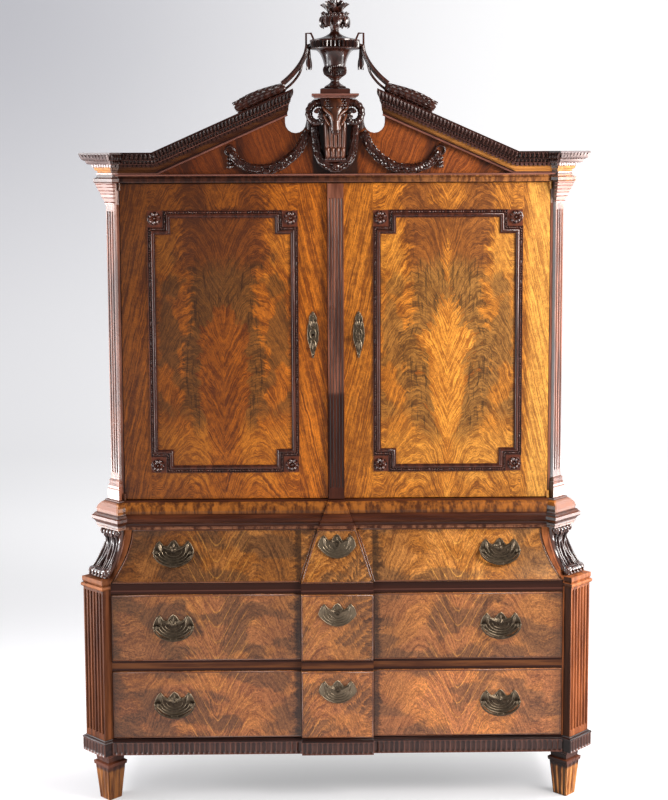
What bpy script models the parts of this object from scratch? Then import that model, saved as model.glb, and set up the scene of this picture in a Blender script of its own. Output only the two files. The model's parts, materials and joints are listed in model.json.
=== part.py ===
"""A cabinet on chest with canted, fluted corners, three drawers, two doors and a broken pediment.

Units are metres. X is to the right, Z is up, and the front faces -Y. The sizes below measure Y back from
the front corner of the corner posts; DATUM_Y moves that plane so that the origin is under the middle.
"""

import math

import bmesh
import bpy
from mathutils import Vector

# Depth, gaps and boards
BACK = 0.600
GAP = 0.0003
BOARD = 0.020
BACK_BOARD = 0.011
SLANT = math.sqrt(0.5)
AXIS_X = (1.0, 0.0, 0.0)

# Heights of the parts, from the floor up
FOOT_HIGH = 0.1667
PLINTH_HIGH = 0.056
DRAWER_CLEAR = 0.003
LOWER_DRAWER_HIGH = 0.239
LOWER_RAIL_HIGH = 0.038
MIDDLE_DRAWER_HIGH = 0.235
UPPER_RAIL_HIGH = 0.0405
UPPER_DRAWER_HIGH = 0.176
RAIL_GAP = 0.002
WAIST_CLEAR = 0.0025
WAIST_HIGH = 0.098
DOOR_FOOT_CLEAR = 0.002
DOOR_HIGH = 1.095
DOOR_HEAD_CLEAR = 0.003
TOP_HIGH = 0.029
CORNICE_HIGH = 0.0737

PLINTH_BOTTOM = FOOT_HIGH + GAP
PLINTH_TOP = PLINTH_BOTTOM + PLINTH_HIGH
LOWER_DRAWER = (PLINTH_TOP + DRAWER_CLEAR, PLINTH_TOP + DRAWER_CLEAR + LOWER_DRAWER_HIGH)
MIDDLE_LOW = LOWER_DRAWER[1] + LOWER_RAIL_HIGH
MIDDLE_DRAWER = (MIDDLE_LOW, MIDDLE_LOW + MIDDLE_DRAWER_HIGH)
UPPER_LOW = MIDDLE_DRAWER[1] + UPPER_RAIL_HIGH
UPPER_DRAWER = (UPPER_LOW, UPPER_LOW + UPPER_DRAWER_HIGH)
WAIST_BOTTOM = UPPER_DRAWER[1] + WAIST_CLEAR
WAIST_TOP = WAIST_BOTTOM + WAIST_HIGH
DOOR_BOTTOM = WAIST_TOP + DOOR_FOOT_CLEAR
DOOR_TOP = DOOR_BOTTOM + DOOR_HIGH
TOP_BOTTOM = DOOR_TOP + DOOR_HEAD_CLEAR
TOP_TOP = TOP_BOTTOM + TOP_HIGH
CORNICE_BOTTOM = TOP_TOP + GAP
CORNICE_TOP = CORNICE_BOTTOM + CORNICE_HIGH

# Chest plan: half width of the drawers, the posts beside them and the concave flare above
DRAWER_HALF = 0.7805
POST_WIDE = 0.084
POST_FLAT = 0.0075
POST_TOP_WIDE = 0.0965
POST_TOP_FLAT = 0.023
POST_DEEP = 0.1495
POST_PROUD = 0.029
FLARE_SIDE = 0.057
FLARE_DEEP = 0.050
FLARE_POWER = 1.8
CHEST_FRONT = 0.0205
PLINTH_OUT = 0.0106
CHEST_SIDE = DRAWER_HALF + POST_WIDE
CHEST_CANT = POST_WIDE - POST_FLAT
CHEST_TOP_SIDE = CHEST_SIDE - FLARE_SIDE
CHEST_TOP_FRONT = CHEST_FRONT + FLARE_DEEP
CHEST_TOP_CANT = POST_TOP_WIDE - POST_TOP_FLAT
DRAWER_TOP_HALF = CHEST_TOP_SIDE - POST_TOP_WIDE
POST_BACK = CHEST_FRONT + POST_DEEP
FOREMOST = CHEST_FRONT - POST_PROUD * SLANT - PLINTH_OUT * math.sqrt(2.0)
DATUM_Y = -(BACK + FOREMOST) / 2

# Drawers
DRAWER_PROUD = 0.0035
FACE_SWEEP = 0.058
FRONT_THICK = 0.022
EDGE_ROUND = 0.002
SIDE_GAP = 0.0023
DRAWER_WALL = 0.012
DRAWER_FLOOR = 0.008
DRAWER_BACK_CLEAR = 0.029
BOX_INSET = 0.0125
BOX_CLEAR = 0.025
BREAK_HALF = 0.125
BREAK_TOP_HALF = 0.066
BREAK_WAIST_HALF = 0.028
BREAK_STEP = 0.016
BREAK_SLOPE = 0.0005
WAIST_BREAK_STEP = 0.010
DUST_BOARD = 0.012
GUIDE_HIGH = 0.018
GUIDE_GAP = 0.002
RAIL_DEEP = 0.0795
DRAWER_FACE = CHEST_FRONT - DRAWER_PROUD
DRAWER_TOP_FACE = DRAWER_FACE + FACE_SWEEP
DRAWER_BACK = BACK - BACK_BOARD - DRAWER_BACK_CLEAR
LOWER_BOX_HALF = DRAWER_HALF - BOX_INSET
UPPER_BOX_HALF = DRAWER_TOP_HALF - BOX_INSET

# Cabinet plan, set in from the top of the chest
CABINET_INSET = 0.030
CABINET_SET_BACK = 0.030
CABINET_CANT = 0.031
CABINET_PROUD = 0.012
PILASTER_FLAT = 0.008
PILASTER_DEEP = 0.0395
STILE = 0.004
SHELF_RISES = (0.365, 0.735)
SHELF_THICK = 0.018
SHELF_SET_BACK = 0.006
TOP_BREAK_HALF = 0.20
CABINET_SIDE = CHEST_TOP_SIDE - CABINET_INSET
CABINET_FRONT = CHEST_TOP_FRONT + CABINET_SET_BACK
PILASTER_IN = CABINET_SIDE - CABINET_CANT - PILASTER_FLAT
PILASTER_BACK = CABINET_FRONT + PILASTER_DEEP

# Doors
DOOR_PROUD = 0.0025
DOOR_THICK = 0.022
DOOR_EDGE = 0.001
DOOR_EDGE_CLEAR = 0.0025
DOOR_MEET_CLEAR = 0.0025
HINGE_OUT = 0.0015
HINGE_FRONT = 0.0035
PIVOT_RADIUS = 0.0048
PIVOT_HIGH = 0.022
PANEL_IN = 0.128
PANEL_FROM_OUT = 0.092
PANEL_FROM_FOOT = 0.093
PANEL_FROM_HEAD = 0.091
PANEL_BAND = 0.027
PANEL_PROUD = 0.009
CORNER_WIDE = 0.080
CORNER_HIGH = 0.083
CENTRE_HALF = 0.0277
CENTRE_EDGE = 0.0023
CENTRE_PROUD = 0.017
ESCUTCHEON_X = 0.079
ESCUTCHEON_RISE = 0.574
DOOR_ESCUTCHEON = (0.041, 0.160)
KEYHOLE_RADIUS = 0.0045
KEY_CLEAR = 0.0007
KEY_IN = 0.012
KEY_OUT = 0.034
PLATE_THICK = 0.003
DOOR_FACE = CABINET_FRONT - DOOR_PROUD
DOOR_OUT = PILASTER_IN - DOOR_EDGE_CLEAR
LEFT_DOOR_IN = CENTRE_HALF + CENTRE_EDGE
RIGHT_DOOR_IN = DOOR_MEET_CLEAR - LEFT_DOOR_IN
PANEL_OUT = DOOR_OUT - PANEL_FROM_OUT
PANEL_LOW = DOOR_BOTTOM + PANEL_FROM_FOOT
PANEL_HIGH = DOOR_TOP - PANEL_FROM_HEAD
ESCUTCHEON_Z = DOOR_BOTTOM + ESCUTCHEON_RISE

# Handles and drawer escutcheons: how far above the middle of its drawer each one sits
HANDLE_FROM_END = 0.2135
HANDLE_RISES = (0.0005, 0.0015, 0.0055)
HANDLE_SIZE = (0.144, 0.091)
CENTRE_RISES = (0.045, 0.0445, 0.0275)
CENTRE_SIZE = (0.134, 0.086)
POST_OUT = 0.058
POST_TIP = 0.004
POST_RADIUS = 0.0055
PIVOT_Z = 0.004
PIVOT_OUT = 0.011
BAIL_GAP = 0.001
BAIL_DROP = 0.046
BAIL_THICK = 0.0062
BAIL_THIN = 0.0035
HANDLE_X = DRAWER_HALF - HANDLE_FROM_END
BAIL_HALF = POST_OUT + POST_RADIUS + BAIL_THIN + BAIL_GAP

# Pediment
RAKE_INSET = 0.1575
RAKE_END = 0.170
RAKE_RISE = 0.4426
TYMPANUM_THICK = 0.024
TYMPANUM_INSET = 0.0325
TYMPANUM_DROP = 0.012
PIER_HALF = 0.0986
CUT_RISE = 0.064
PIER_HIGH = 0.114
CONSOLE_DROP = 0.0175
ABACUS_CLEAR = 0.002
ABACUS_THICK = 0.0135
ABACUS_HALF = 0.079
ABACUS_FORE = 0.0985
ABACUS_AFT = 0.0445
URN_FORE = 0.0305
URN_HIGH = 0.3155
URN_HANDLE_X = (0.070, 0.100)
URN_HANDLE_RISE = (0.166, 0.206)
URN_HANDLE_HALF = 0.005
RAKE_START = CABINET_SIDE - RAKE_INSET
CUT_BOTTOM = CORNICE_TOP + CUT_RISE
PIER_TOP = CUT_BOTTOM + PIER_HIGH
CONSOLE_LOW = CORNICE_TOP - CONSOLE_DROP
ABACUS = (PIER_TOP + ABACUS_CLEAR, PIER_TOP + ABACUS_CLEAR + ABACUS_THICK)
URN_Y = CABINET_FRONT - URN_FORE

# Feet
FOOT_INSET = 0.0645
FRONT_FOOT_BACK = 0.0365
BACK_FOOT_FORE = 0.065
FOOT_HALF = 0.035
FOOT_KNEE_HALF = 0.049
FOOT_KNEE = 0.120
FOOT_X = CHEST_SIDE - FOOT_INSET
FRONT_FOOT_Y = CHEST_FRONT + FRONT_FOOT_BACK
BACK_FOOT_Y = BACK - BACK_FOOT_FORE

COLOURS = {
    "dark_mahogany": ((0.115, 0.028, 0.014), 0.28, 0.0),
    "flame_veneer": ((0.36, 0.135, 0.035), 0.25, 0.0),
    "inner_wood": ((0.34, 0.20, 0.10), 0.60, 0.0),
    "antique_bronze": ((0.20, 0.155, 0.105), 0.38, 1.0),
}


def start_scene():
    for old in list(bpy.data.objects):
        bpy.data.objects.remove(old)
    collections = {}
    for name in ("cabinet_on_chest", "cutters"):
        made = bpy.data.collections.new(name)
        bpy.context.scene.collection.children.link(made)
        collections[name] = made
    return collections


COLLECTIONS = start_scene()


def material(name, kind):
    colour, roughness, metallic = COLOURS[kind]
    made = bpy.data.materials.new(name)
    made.use_nodes = True
    shader = made.node_tree.nodes["Principled BSDF"]
    shader.inputs["Base Color"].default_value = (*colour, 1.0)
    shader.inputs["Roughness"].default_value = roughness
    shader.inputs["Metallic"].default_value = metallic
    made.diffuse_color = (*colour, 1.0)
    return made


def build(name, points, faces, kind=None, origin=(0.0, 0.0, 0.0)):
    """An object from points in case coordinates. Without a kind it is a helper for a Boolean."""
    at = Vector(origin)
    mesh = bpy.data.meshes.new(name)
    mesh.from_pydata([Vector(point) - at for point in points], [], faces)
    shape = bmesh.new()
    shape.from_mesh(mesh)
    bmesh.ops.remove_doubles(shape, verts=shape.verts, dist=1e-6)
    bmesh.ops.recalc_face_normals(shape, faces=shape.faces)
    shape.to_mesh(mesh)
    shape.free()
    made = bpy.data.objects.new(name, mesh)
    made.location = at + Vector((0.0, DATUM_Y, 0.0))
    if kind:
        mesh.materials.append(material(name, kind))
        COLLECTIONS["cabinet_on_chest"].objects.link(made)
    else:
        made.hide_render = True
        made.display_type = "WIRE"
        COLLECTIONS["cutters"].objects.link(made)
    return made


def loft(name, rings, kind=None, closed=False, origin=(0.0, 0.0, 0.0)):
    """A closed body through rings of equal count, capped at its ends or joined end to end."""
    count = len(rings[0])
    points = [point for ring in rings for point in ring]
    faces = []
    last = len(rings) if closed else len(rings) - 1
    for i in range(last):
        low = i * count
        high = ((i + 1) % len(rings)) * count
        for j in range(count):
            k = (j + 1) % count
            faces.append((low + j, low + k, high + k, high + j))
    if not closed:
        faces.append(tuple(range(count)))
        faces.append(tuple(range(len(points) - count, len(points))))
    return build(name, points, faces, kind, origin)


def block(name, x, y, z, kind=None):
    """A box from three (low, high) pairs."""
    rings = [[(x[0], y[0], h), (x[1], y[0], h), (x[1], y[1], h), (x[0], y[1], h)] for h in z]
    return loft(name, rings, kind)


def facing(name, outline, front, back, kind=None):
    """A prism whose outline is seen from the front."""
    return loft(name, [[(x, y, z) for x, z in outline] for y in (front, back)], kind)


def mirrored(points):
    return [(-x, y, z) for x, y, z in points]


def combine(made, others, operation="UNION"):
    for other in others:
        modifier = made.modifiers.new(other.name, "BOOLEAN")
        modifier.operation = operation
        modifier.solver = "EXACT"
        modifier.object = other
    return made


def tube(path, radii, sides=8, across=(0.0, 1.0, 0.0)):
    """Rings round a path, turned with it. No part of the path runs along across."""
    points = [Vector(point) for point in path]
    rings = []
    for i, point in enumerate(points):
        ahead = points[min(i + 1, len(points) - 1)] - points[max(i - 1, 0)]
        ahead.normalize()
        side = ahead.cross(Vector(across)).normalized()
        up = side.cross(ahead).normalized()
        ring = []
        for j in range(sides):
            turn = 2 * math.pi * (j + 0.5) / sides
            offset = side * math.cos(turn) + up * math.sin(turn)
            ring.append(tuple(point + offset * radii[i]))
        rings.append(ring)
    return rings


def blend(low, high, share):
    return low + (high - low) * share


# Drawer zone of the chest: straight below, and set back by a concave flare beside the upper drawer
def flare(z):
    """0 under the upper drawer, 1 at its top."""
    low, high = UPPER_DRAWER
    share = min(max((high - z) / (high - low), 0.0), 1.0)
    return 1.0 - share**FLARE_POWER


def face_y(z):
    return blend(DRAWER_FACE, DRAWER_TOP_FACE, flare(z))


def drawer_half(z):
    return blend(DRAWER_HALF, DRAWER_TOP_HALF, flare(z))


def break_half(z):
    low, high = UPPER_DRAWER
    share = min(max((z - low) / (high - low), 0.0), 1.0)
    return blend(BREAK_HALF, BREAK_TOP_HALF, share)


def chest_cant(z):
    """Side X, front Y and cant length of the chest at a height."""
    share = flare(z)
    return (
        blend(CHEST_SIDE, CHEST_TOP_SIDE, share),
        blend(CHEST_FRONT, CHEST_TOP_FRONT, share),
        blend(CHEST_CANT, CHEST_TOP_CANT, share),
    )


def corner(side, front, cant, proud, grow=0.0):
    """The four corners of a canted block on the right, all faces moved out by grow."""
    inner = side - cant
    back = front + cant
    out = proud * SLANT
    step = grow * (math.sqrt(2.0) - 1.0)
    return [
        (inner - step, front - grow),
        (inner + out, front - out - grow * math.sqrt(2.0)),
        (side + out + grow * math.sqrt(2.0), back - out),
        (side + grow, back + step),
    ]


def case_plan(corners, centre, step, front, side, back):
    """A whole plan outline with a canted block at each front corner and a break in the middle."""
    right = [(centre, front - step), (centre, front), *corners, (side, back)]
    return [(-x, y) for x, y in reversed(right)] + right


def ring_at(outline, z):
    return [(x, y, z) for x, y in outline]


def fluted(first, last, count, depth):
    """Points from first to last, both left out, with count round flutes of the given depth."""
    start = Vector(first)
    along = Vector(last) - start
    inward = Vector((-along.y, along.x)).normalized()
    pitch = 1.0 / (count + 0.35)
    points = []
    for i in range(count):
        for share, deep in ((0.35, 0.0), (0.50, 0.75), (0.67, 1.0), (0.85, 0.75), (1.0, 0.0)):
            point = start + along * (pitch * (i + share)) + inward * (deep * depth)
            points.append((point.x, point.y))
    return points


# Carved console: share of its height, width and how far it stands proud of the cant
CONSOLE = (
    (0.00, 0.096, 0.030),
    (0.04, 0.100, 0.038),
    (0.13, 0.100, 0.038),
    (0.21, 0.092, 0.027),
    (0.35, 0.080, 0.017),
    (0.53, 0.074, 0.013),
    (0.68, 0.080, 0.015),
    (0.79, 0.092, 0.025),
    (0.86, 0.100, 0.040),
    (0.96, 0.100, 0.043),
    (1.00, 0.096, 0.038),
)
CONSOLE_OFF = 0.0016
CONSOLE_RISE = 0.015
CONSOLE_FOOT = UPPER_DRAWER[0] + CONSOLE_RISE
CONSOLE_LEVELS = [blend(CONSOLE_FOOT, WAIST_BOTTOM - GAP, share) for share, _, _ in CONSOLE]

# Post below the console: height above the plinth or above the upper drawer's foot, growth and flute depth
POST_FOOT = (
    (GAP, 0.0, 0.0),
    (0.020, 0.0, 0.0),
    (0.024, 0.0, 0.005),
)
POST_CAP = (
    (-0.0345, 0.0, 0.005),
    (-0.0305, 0.0, 0.0),
    (-0.0220, 0.0, 0.0),
    (-0.0205, 0.005, 0.0),
    (-0.0145, 0.007, 0.0),
    (-0.0085, 0.005, 0.0),
    (-0.0065, 0.0, 0.0),
    (0.0005, 0.003, 0.0),
    (CONSOLE_RISE - 0.001, 0.003, 0.0),
)
POST_FLUTES = 6
CANT_PROUD = 0.001


# Chest shell
def corner_post(name, sign):
    levels = [(PLINTH_TOP + up, grow, depth) for up, grow, depth in POST_FOOT]
    levels += [(UPPER_DRAWER[0] + up, grow, depth) for up, grow, depth in POST_CAP]
    side, front, cant = chest_cant(0.0)
    rings = []
    for z, grow, depth in levels:
        corners = corner(side, front, cant, POST_PROUD, grow)
        rings.append(post_ring(corners, depth, z, front, side))
    for z in CONSOLE_LEVELS:
        side, front, cant = chest_cant(z)
        rings.append(post_ring(corner(side, front, cant, CANT_PROUD), 0.0, z, front, side))
    if sign < 0:
        rings = [mirrored(ring) for ring in rings]
    loft(name, rings, "dark_mahogany")


def post_ring(corners, depth, z, front, side):
    inner = drawer_half(z) + SIDE_GAP
    outline = [(inner, front), corners[0], corners[1]]
    outline += fluted(corners[1], corners[2], POST_FLUTES, depth)
    outline += [corners[2], corners[3], (side, POST_BACK), (inner, POST_BACK)]
    return ring_at(outline, z)


def chest_side(name, sign):
    rings = []
    for z in (PLINTH_TOP + GAP, UPPER_DRAWER[0], *CONSOLE_LEVELS):
        out = chest_cant(z)[0]
        low = POST_BACK + GAP
        high = BACK - BACK_BOARD - GAP
        inner = out - BOARD
        rings.append([(inner, low, z), (out, low, z), (out, high, z), (inner, high, z)])
    if sign < 0:
        rings = [mirrored(ring) for ring in rings]
    loft(name, rings, "dark_mahogany")


def chest_back():
    right = []
    for z in (PLINTH_TOP + GAP, UPPER_DRAWER[0], *CONSOLE_LEVELS):
        right.append((chest_cant(z)[0], z))
    outline = right + [(-x, z) for x, z in reversed(right)]
    facing("chest_back", outline, BACK - BACK_BOARD, BACK, "inner_wood")


# Plinth: share of its height and how far it stands out of the chest
PLINTH_SECTION = (
    (0.0, PLINTH_OUT),
    (0.80, PLINTH_OUT),
    (0.91, 0.008),
    (1.0, 0.002),
)


def plinth():
    rings = []
    for share, grow in PLINTH_SECTION:
        corners = corner(CHEST_SIDE, CHEST_FRONT, CHEST_CANT, POST_PROUD, grow)
        side = CHEST_SIDE + grow
        outline = case_plan(corners, BREAK_HALF, BREAK_STEP, CHEST_FRONT - grow, side, BACK)
        rings.append(ring_at(outline, blend(PLINTH_BOTTOM, PLINTH_TOP, share)))
    loft("plinth", rings, "dark_mahogany")


# Foot above its knee: height above the knee and growth of its half diagonal
FOOT_COLLAR = (
    (0.0, 0.0),
    (0.002, 0.008),
    (0.014, 0.010),
    (0.018, -0.002),
    (0.036, 0.001),
    (0.039, 0.009),
)
FOOT_TOP_OUT = 0.010


def foot(name, x, y):
    levels = [(0.0, FOOT_HALF)]
    levels += [(FOOT_KNEE + up, FOOT_KNEE_HALF + grow) for up, grow in FOOT_COLLAR]
    levels.append((FOOT_HIGH, FOOT_KNEE_HALF + FOOT_TOP_OUT))
    rings = []
    for z, half in levels:
        rings.append([(x + half, y, z), (x, y + half, z), (x - half, y, z), (x, y - half, z)])
    loft(name, rings, "dark_mahogany", origin=(x, y, 0.0))


def dust_board(name, low, high, box_half):
    """The rail that shows between two drawers, the board behind it and the guides beside the drawer above."""
    top = high - RAIL_GAP
    bottom = low + RAIL_GAP
    between = DRAWER_HALF + SIDE_GAP - GAP
    rail_back = CHEST_FRONT + RAIL_DEEP
    made = block(name, (-between, between), (CHEST_FRONT, rail_back), (bottom, top), "dark_mahogany")
    inside = CHEST_SIDE - BOARD - GAP
    depth = (POST_BACK + GAP, BACK - BACK_BOARD - GAP)
    middle = (depth[0] + depth[1]) / 2
    board = (top - DUST_BOARD, top)
    break_depth = (CHEST_FRONT - BREAK_STEP, (CHEST_FRONT + rail_back) / 2)
    parts = [
        block(name + "_break", (-BREAK_HALF, BREAK_HALF), break_depth, (bottom, top)),
        block(name + "_throat", (-DRAWER_HALF, DRAWER_HALF), (break_depth[1], middle), board),
        block(name + "_board", (-inside, inside), depth, board),
    ]
    guide = (box_half + GUIDE_GAP, CHEST_TOP_SIDE - BOARD - GAP)
    for sign in (-1, 1):
        ends = sorted(sign * x for x in guide)
        parts.append(block(name + f"_guide_{sign}", ends, depth, (top - DUST_BOARD / 2, top + GUIDE_HIGH)))
    combine(made, parts)


# Waist moulding: share of its height and how far it stands out of the cabinet
WAIST_SECTION = (
    (0.00, 0.0364),
    (0.06, 0.0364),
    (0.09, 0.0400),
    (0.165, 0.0400),
    (0.225, 0.0430),
    (0.295, 0.0500),
    (0.315, 0.0515),
    (0.42, 0.0515),
    (0.45, 0.0470),
    (0.52, 0.0430),
    (0.54, 0.0385),
    (0.57, 0.0375),
    (0.665, 0.0390),
    (0.785, 0.0350),
    (0.89, 0.0265),
    (0.96, 0.0170),
    (1.00, 0.0165),
)


def waist():
    rings = []
    for share, grow in WAIST_SECTION:
        centre = blend(BREAK_TOP_HALF, BREAK_WAIST_HALF, share)
        corners = corner(CABINET_SIDE, CABINET_FRONT, CABINET_CANT, CABINET_PROUD, grow)
        front = CABINET_FRONT - grow
        outline = case_plan(corners, centre, WAIST_BREAK_STEP, front, CABINET_SIDE + grow, BACK)
        rings.append(ring_at(outline, blend(WAIST_BOTTOM, WAIST_TOP, share)))
    loft("waist_moulding", rings, "dark_mahogany")


def console(name, sign):
    """A carved scroll on the cant beside the upper drawer."""
    rings = []
    for z, (_, width, proud) in zip(CONSOLE_LEVELS, CONSOLE):
        side, front, cant = chest_cant(z)
        middle = Vector((side - cant / 2, front + cant / 2))
        along = Vector((SLANT, SLANT))
        normal = Vector((SLANT, -SLANT))
        ring = []
        for across, out in ((-0.5, 0.0), (-0.5, 0.6), (-0.3, 1.0), (0.3, 1.0), (0.5, 0.6), (0.5, 0.0)):
            reach = max(out * proud, CONSOLE_OFF)
            point = middle + along * (across * width) + normal * reach
            ring.append((point.x, point.y, z))
        rings.append(ring)
    if sign < 0:
        rings = [mirrored(ring) for ring in rings]
    loft(name, rings, "dark_mahogany")


# Drawers
def drawer_front(name, span, flared):
    low, high = span
    levels = [low, low + EDGE_ROUND]
    if flared:
        levels += [blend(low, high, i / 8) for i in range(1, 8)]
    levels += [high - EDGE_ROUND, high]
    rear = (DRAWER_TOP_FACE if flared else DRAWER_FACE) + FRONT_THICK
    rings = []
    for z in levels:
        inset = EDGE_ROUND if z in (low, high) else 0.0
        half = drawer_half(z) - inset
        centre = break_half(z)
        face = face_y(z) + inset
        right = [
            (centre - inset, face - BREAK_STEP),
            (centre + BREAK_SLOPE, face),
            (half, face),
            (half, rear),
        ]
        rings.append(ring_at([(-x, y) for x, y in reversed(right)] + right, z))
    loft(name, rings, "flame_veneer")


def drawer_box(name, half, front, low, high):
    made = block(name, (-half, half), (front + GAP, DRAWER_BACK), (low, high), "inner_wood")
    inside = block(
        name + "_inside",
        (-half + DRAWER_WALL, half - DRAWER_WALL),
        (front + GAP + DRAWER_WALL, DRAWER_BACK - DRAWER_WALL),
        (low + DRAWER_FLOOR, high + DRAWER_FLOOR),
    )
    combine(made, [inside], "DIFFERENCE")


CROWN = (
    (-0.350, 0.480),
    (-0.190, 0.190),
    (-0.095, 0.390),
    (0.000, 0.500),
    (0.095, 0.390),
    (0.190, 0.190),
    (0.350, 0.480),
    (0.450, 0.270),
    (0.500, 0.055),
    (0.400, -0.150),
    (0.270, -0.330),
    (0.130, -0.420),
    (0.000, -0.450),
    (-0.130, -0.420),
    (-0.270, -0.330),
    (-0.400, -0.150),
    (-0.500, 0.055),
    (-0.450, 0.270),
)


def lie_on_face(made, x, z, half_high, step=0.0):
    """Puts a plate, drawn round its own origin, on the drawer face, tilted to touch it above and below."""
    low = face_y(z - half_high)
    high = face_y(z + half_high)
    tilt = math.atan2(high - low, 2 * half_high)
    made.location = (x, (low + high) / 2 - step - GAP + DATUM_Y, z)
    made.rotation_euler.x = -tilt


def plate(name, size):
    wide, high = size
    outline = [(x * wide, z * high) for x, z in CROWN]
    return facing(name, outline, -PLATE_THICK, 0.0, "antique_bronze")


def drawer_escutcheon(name, z):
    lie_on_face(plate(name, CENTRE_SIZE), 0.0, z, CENTRE_SIZE[1] / 2, BREAK_STEP)


def handle(name, sign, z):
    made = plate("handle_plate_" + name, HANDLE_SIZE)
    posts = []
    for end in (-1, 1):
        spots = [(end * POST_OUT, y, PIVOT_Z) for y in (-PLATE_THICK / 2, -PIVOT_OUT - POST_TIP)]
        posts.append(loft(f"post_{name}_{end}", tube(spots, (POST_RADIUS, POST_RADIUS), 8, AXIS_X)))
    half_high = HANDLE_SIZE[1] / 2
    lie_on_face(made, sign * HANDLE_X, z, half_high)
    for post in posts:
        lie_on_face(post, sign * HANDLE_X, z, half_high)
    combine(made, posts)
    bail(name, made)


def bail(name, holder):
    """A crescent whose ends sit outside the two posts. Its origin is on the line between them."""
    steps = 12
    path = []
    radii = []
    for i in range(steps + 1):
        turn = math.pi * i / steps
        share = math.sin(turn)
        path.append((-BAIL_HALF * math.cos(turn), 0.0, -BAIL_DROP * share))
        radii.append(blend(BAIL_THIN, BAIL_THICK, share))
    path[0] = (-BAIL_HALF, 0.0, BAIL_THIN)
    path[-1] = (BAIL_HALF, 0.0, BAIL_THIN)
    made = loft("handle_bail_" + name, tube(path, radii), "antique_bronze")
    made.location = holder.location
    made.rotation_euler = holder.rotation_euler
    lift = made.rotation_euler.to_matrix() @ Vector((0.0, -PIVOT_OUT, PIVOT_Z))
    made.location = made.location + lift


# Cabinet pilaster: height above the waist or below the top, growth and flute depth
PILASTER_FOOT = (
    (GAP, 0.010, 0.0),
    (0.037, 0.010, 0.0),
    (0.041, 0.0085, 0.0),
    (0.049, 0.0085, 0.0),
    (0.057, 0.004, 0.0),
    (0.067, 0.006, 0.0),
    (0.073, 0.001, 0.0),
    (0.095, 0.0, 0.0),
    (0.098, 0.0, 0.003),
)
PILASTER_CAP = (
    (0.098, 0.0, 0.003),
    (0.095, 0.0, 0.0),
    (0.073, 0.0, 0.0),
    (0.071, 0.003, 0.0),
    (0.066, 0.003, 0.0),
    (0.064, 0.002, 0.0),
    (0.051, 0.009, 0.0),
    (0.037, 0.0125, 0.0),
    (0.019, 0.020, 0.0),
    (GAP, 0.026, 0.0),
)
PILASTER_FLUTES = 3
SIDE_STEP = 0.001


def cabinet_side(name, sign):
    """A side board in one piece with the narrow fluted pilaster on its front corner."""
    levels = [(WAIST_TOP + up, grow, depth) for up, grow, depth in PILASTER_FOOT]
    levels += [(TOP_BOTTOM - down, grow, depth) for down, grow, depth in PILASTER_CAP]
    inner = PILASTER_IN
    rear = BACK - BACK_BOARD - GAP
    rings = []
    for z, grow, depth in levels:
        corners = corner(CABINET_SIDE, CABINET_FRONT, CABINET_CANT, CABINET_PROUD, grow)
        outline = [(inner, CABINET_FRONT), (max(corners[0][0], inner + STILE), CABINET_FRONT), corners[1]]
        outline += fluted(corners[1], corners[2], PILASTER_FLUTES, depth)
        depth_out = max(PILASTER_BACK, corners[3][1] + 2 * SIDE_STEP)
        outline += [corners[2], corners[3], (CABINET_SIDE + grow, depth_out)]
        outline += [(CABINET_SIDE, depth_out + SIDE_STEP), (CABINET_SIDE, rear)]
        outline += [(CABINET_SIDE - BOARD, rear), (CABINET_SIDE - BOARD, PILASTER_BACK), (inner, PILASTER_BACK)]
        rings.append(ring_at(outline, z))
    if sign < 0:
        rings = [mirrored(ring) for ring in rings]
    loft(name, rings, "dark_mahogany")


# Board over the doors: share of its height and how far it stands out of the cabinet
TOP_SECTION = (
    (0.0, 0.027),
    (0.17, 0.030),
    (0.52, 0.030),
    (0.66, 0.022),
    (1.0, 0.020),
)
TOP_FRONT_SHARE = 0.75


def cabinet_top():
    rings = []
    for share, grow in TOP_SECTION:
        corners = corner(CABINET_SIDE, CABINET_FRONT, CABINET_CANT, CABINET_PROUD, grow)
        front = CABINET_FRONT - grow * TOP_FRONT_SHARE
        corners = [(corners[0][0], front), *corners]
        outline = case_plan(corners, TOP_BREAK_HALF, BREAK_SLOPE, front, CABINET_SIDE + grow, BACK)
        rings.append(ring_at(outline, blend(TOP_BOTTOM, TOP_TOP, share)))
    loft("cabinet_top", rings, "dark_mahogany")


def cabinet_case():
    low = WAIST_TOP + GAP
    high = TOP_BOTTOM - GAP
    depth = (PILASTER_BACK + SHELF_SET_BACK, BACK - BACK_BOARD - GAP)
    for name, sign in (("left", -1), ("right", 1)):
        cabinet_side("cabinet_side_" + name, sign)
    block("cabinet_back", (-CABINET_SIDE, CABINET_SIDE), (BACK - BACK_BOARD, BACK), (low, high), "inner_wood")
    inside = CABINET_SIDE - BOARD - GAP
    block("cabinet_floor", (-inside, inside), depth, (low, low + BOARD), "inner_wood")
    for name, rise in zip(("lower", "upper"), SHELF_RISES):
        z = WAIST_TOP + rise
        block("shelf_" + name, (-inside, inside), depth, (z, z + SHELF_THICK), "inner_wood")
    cabinet_top()


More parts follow.
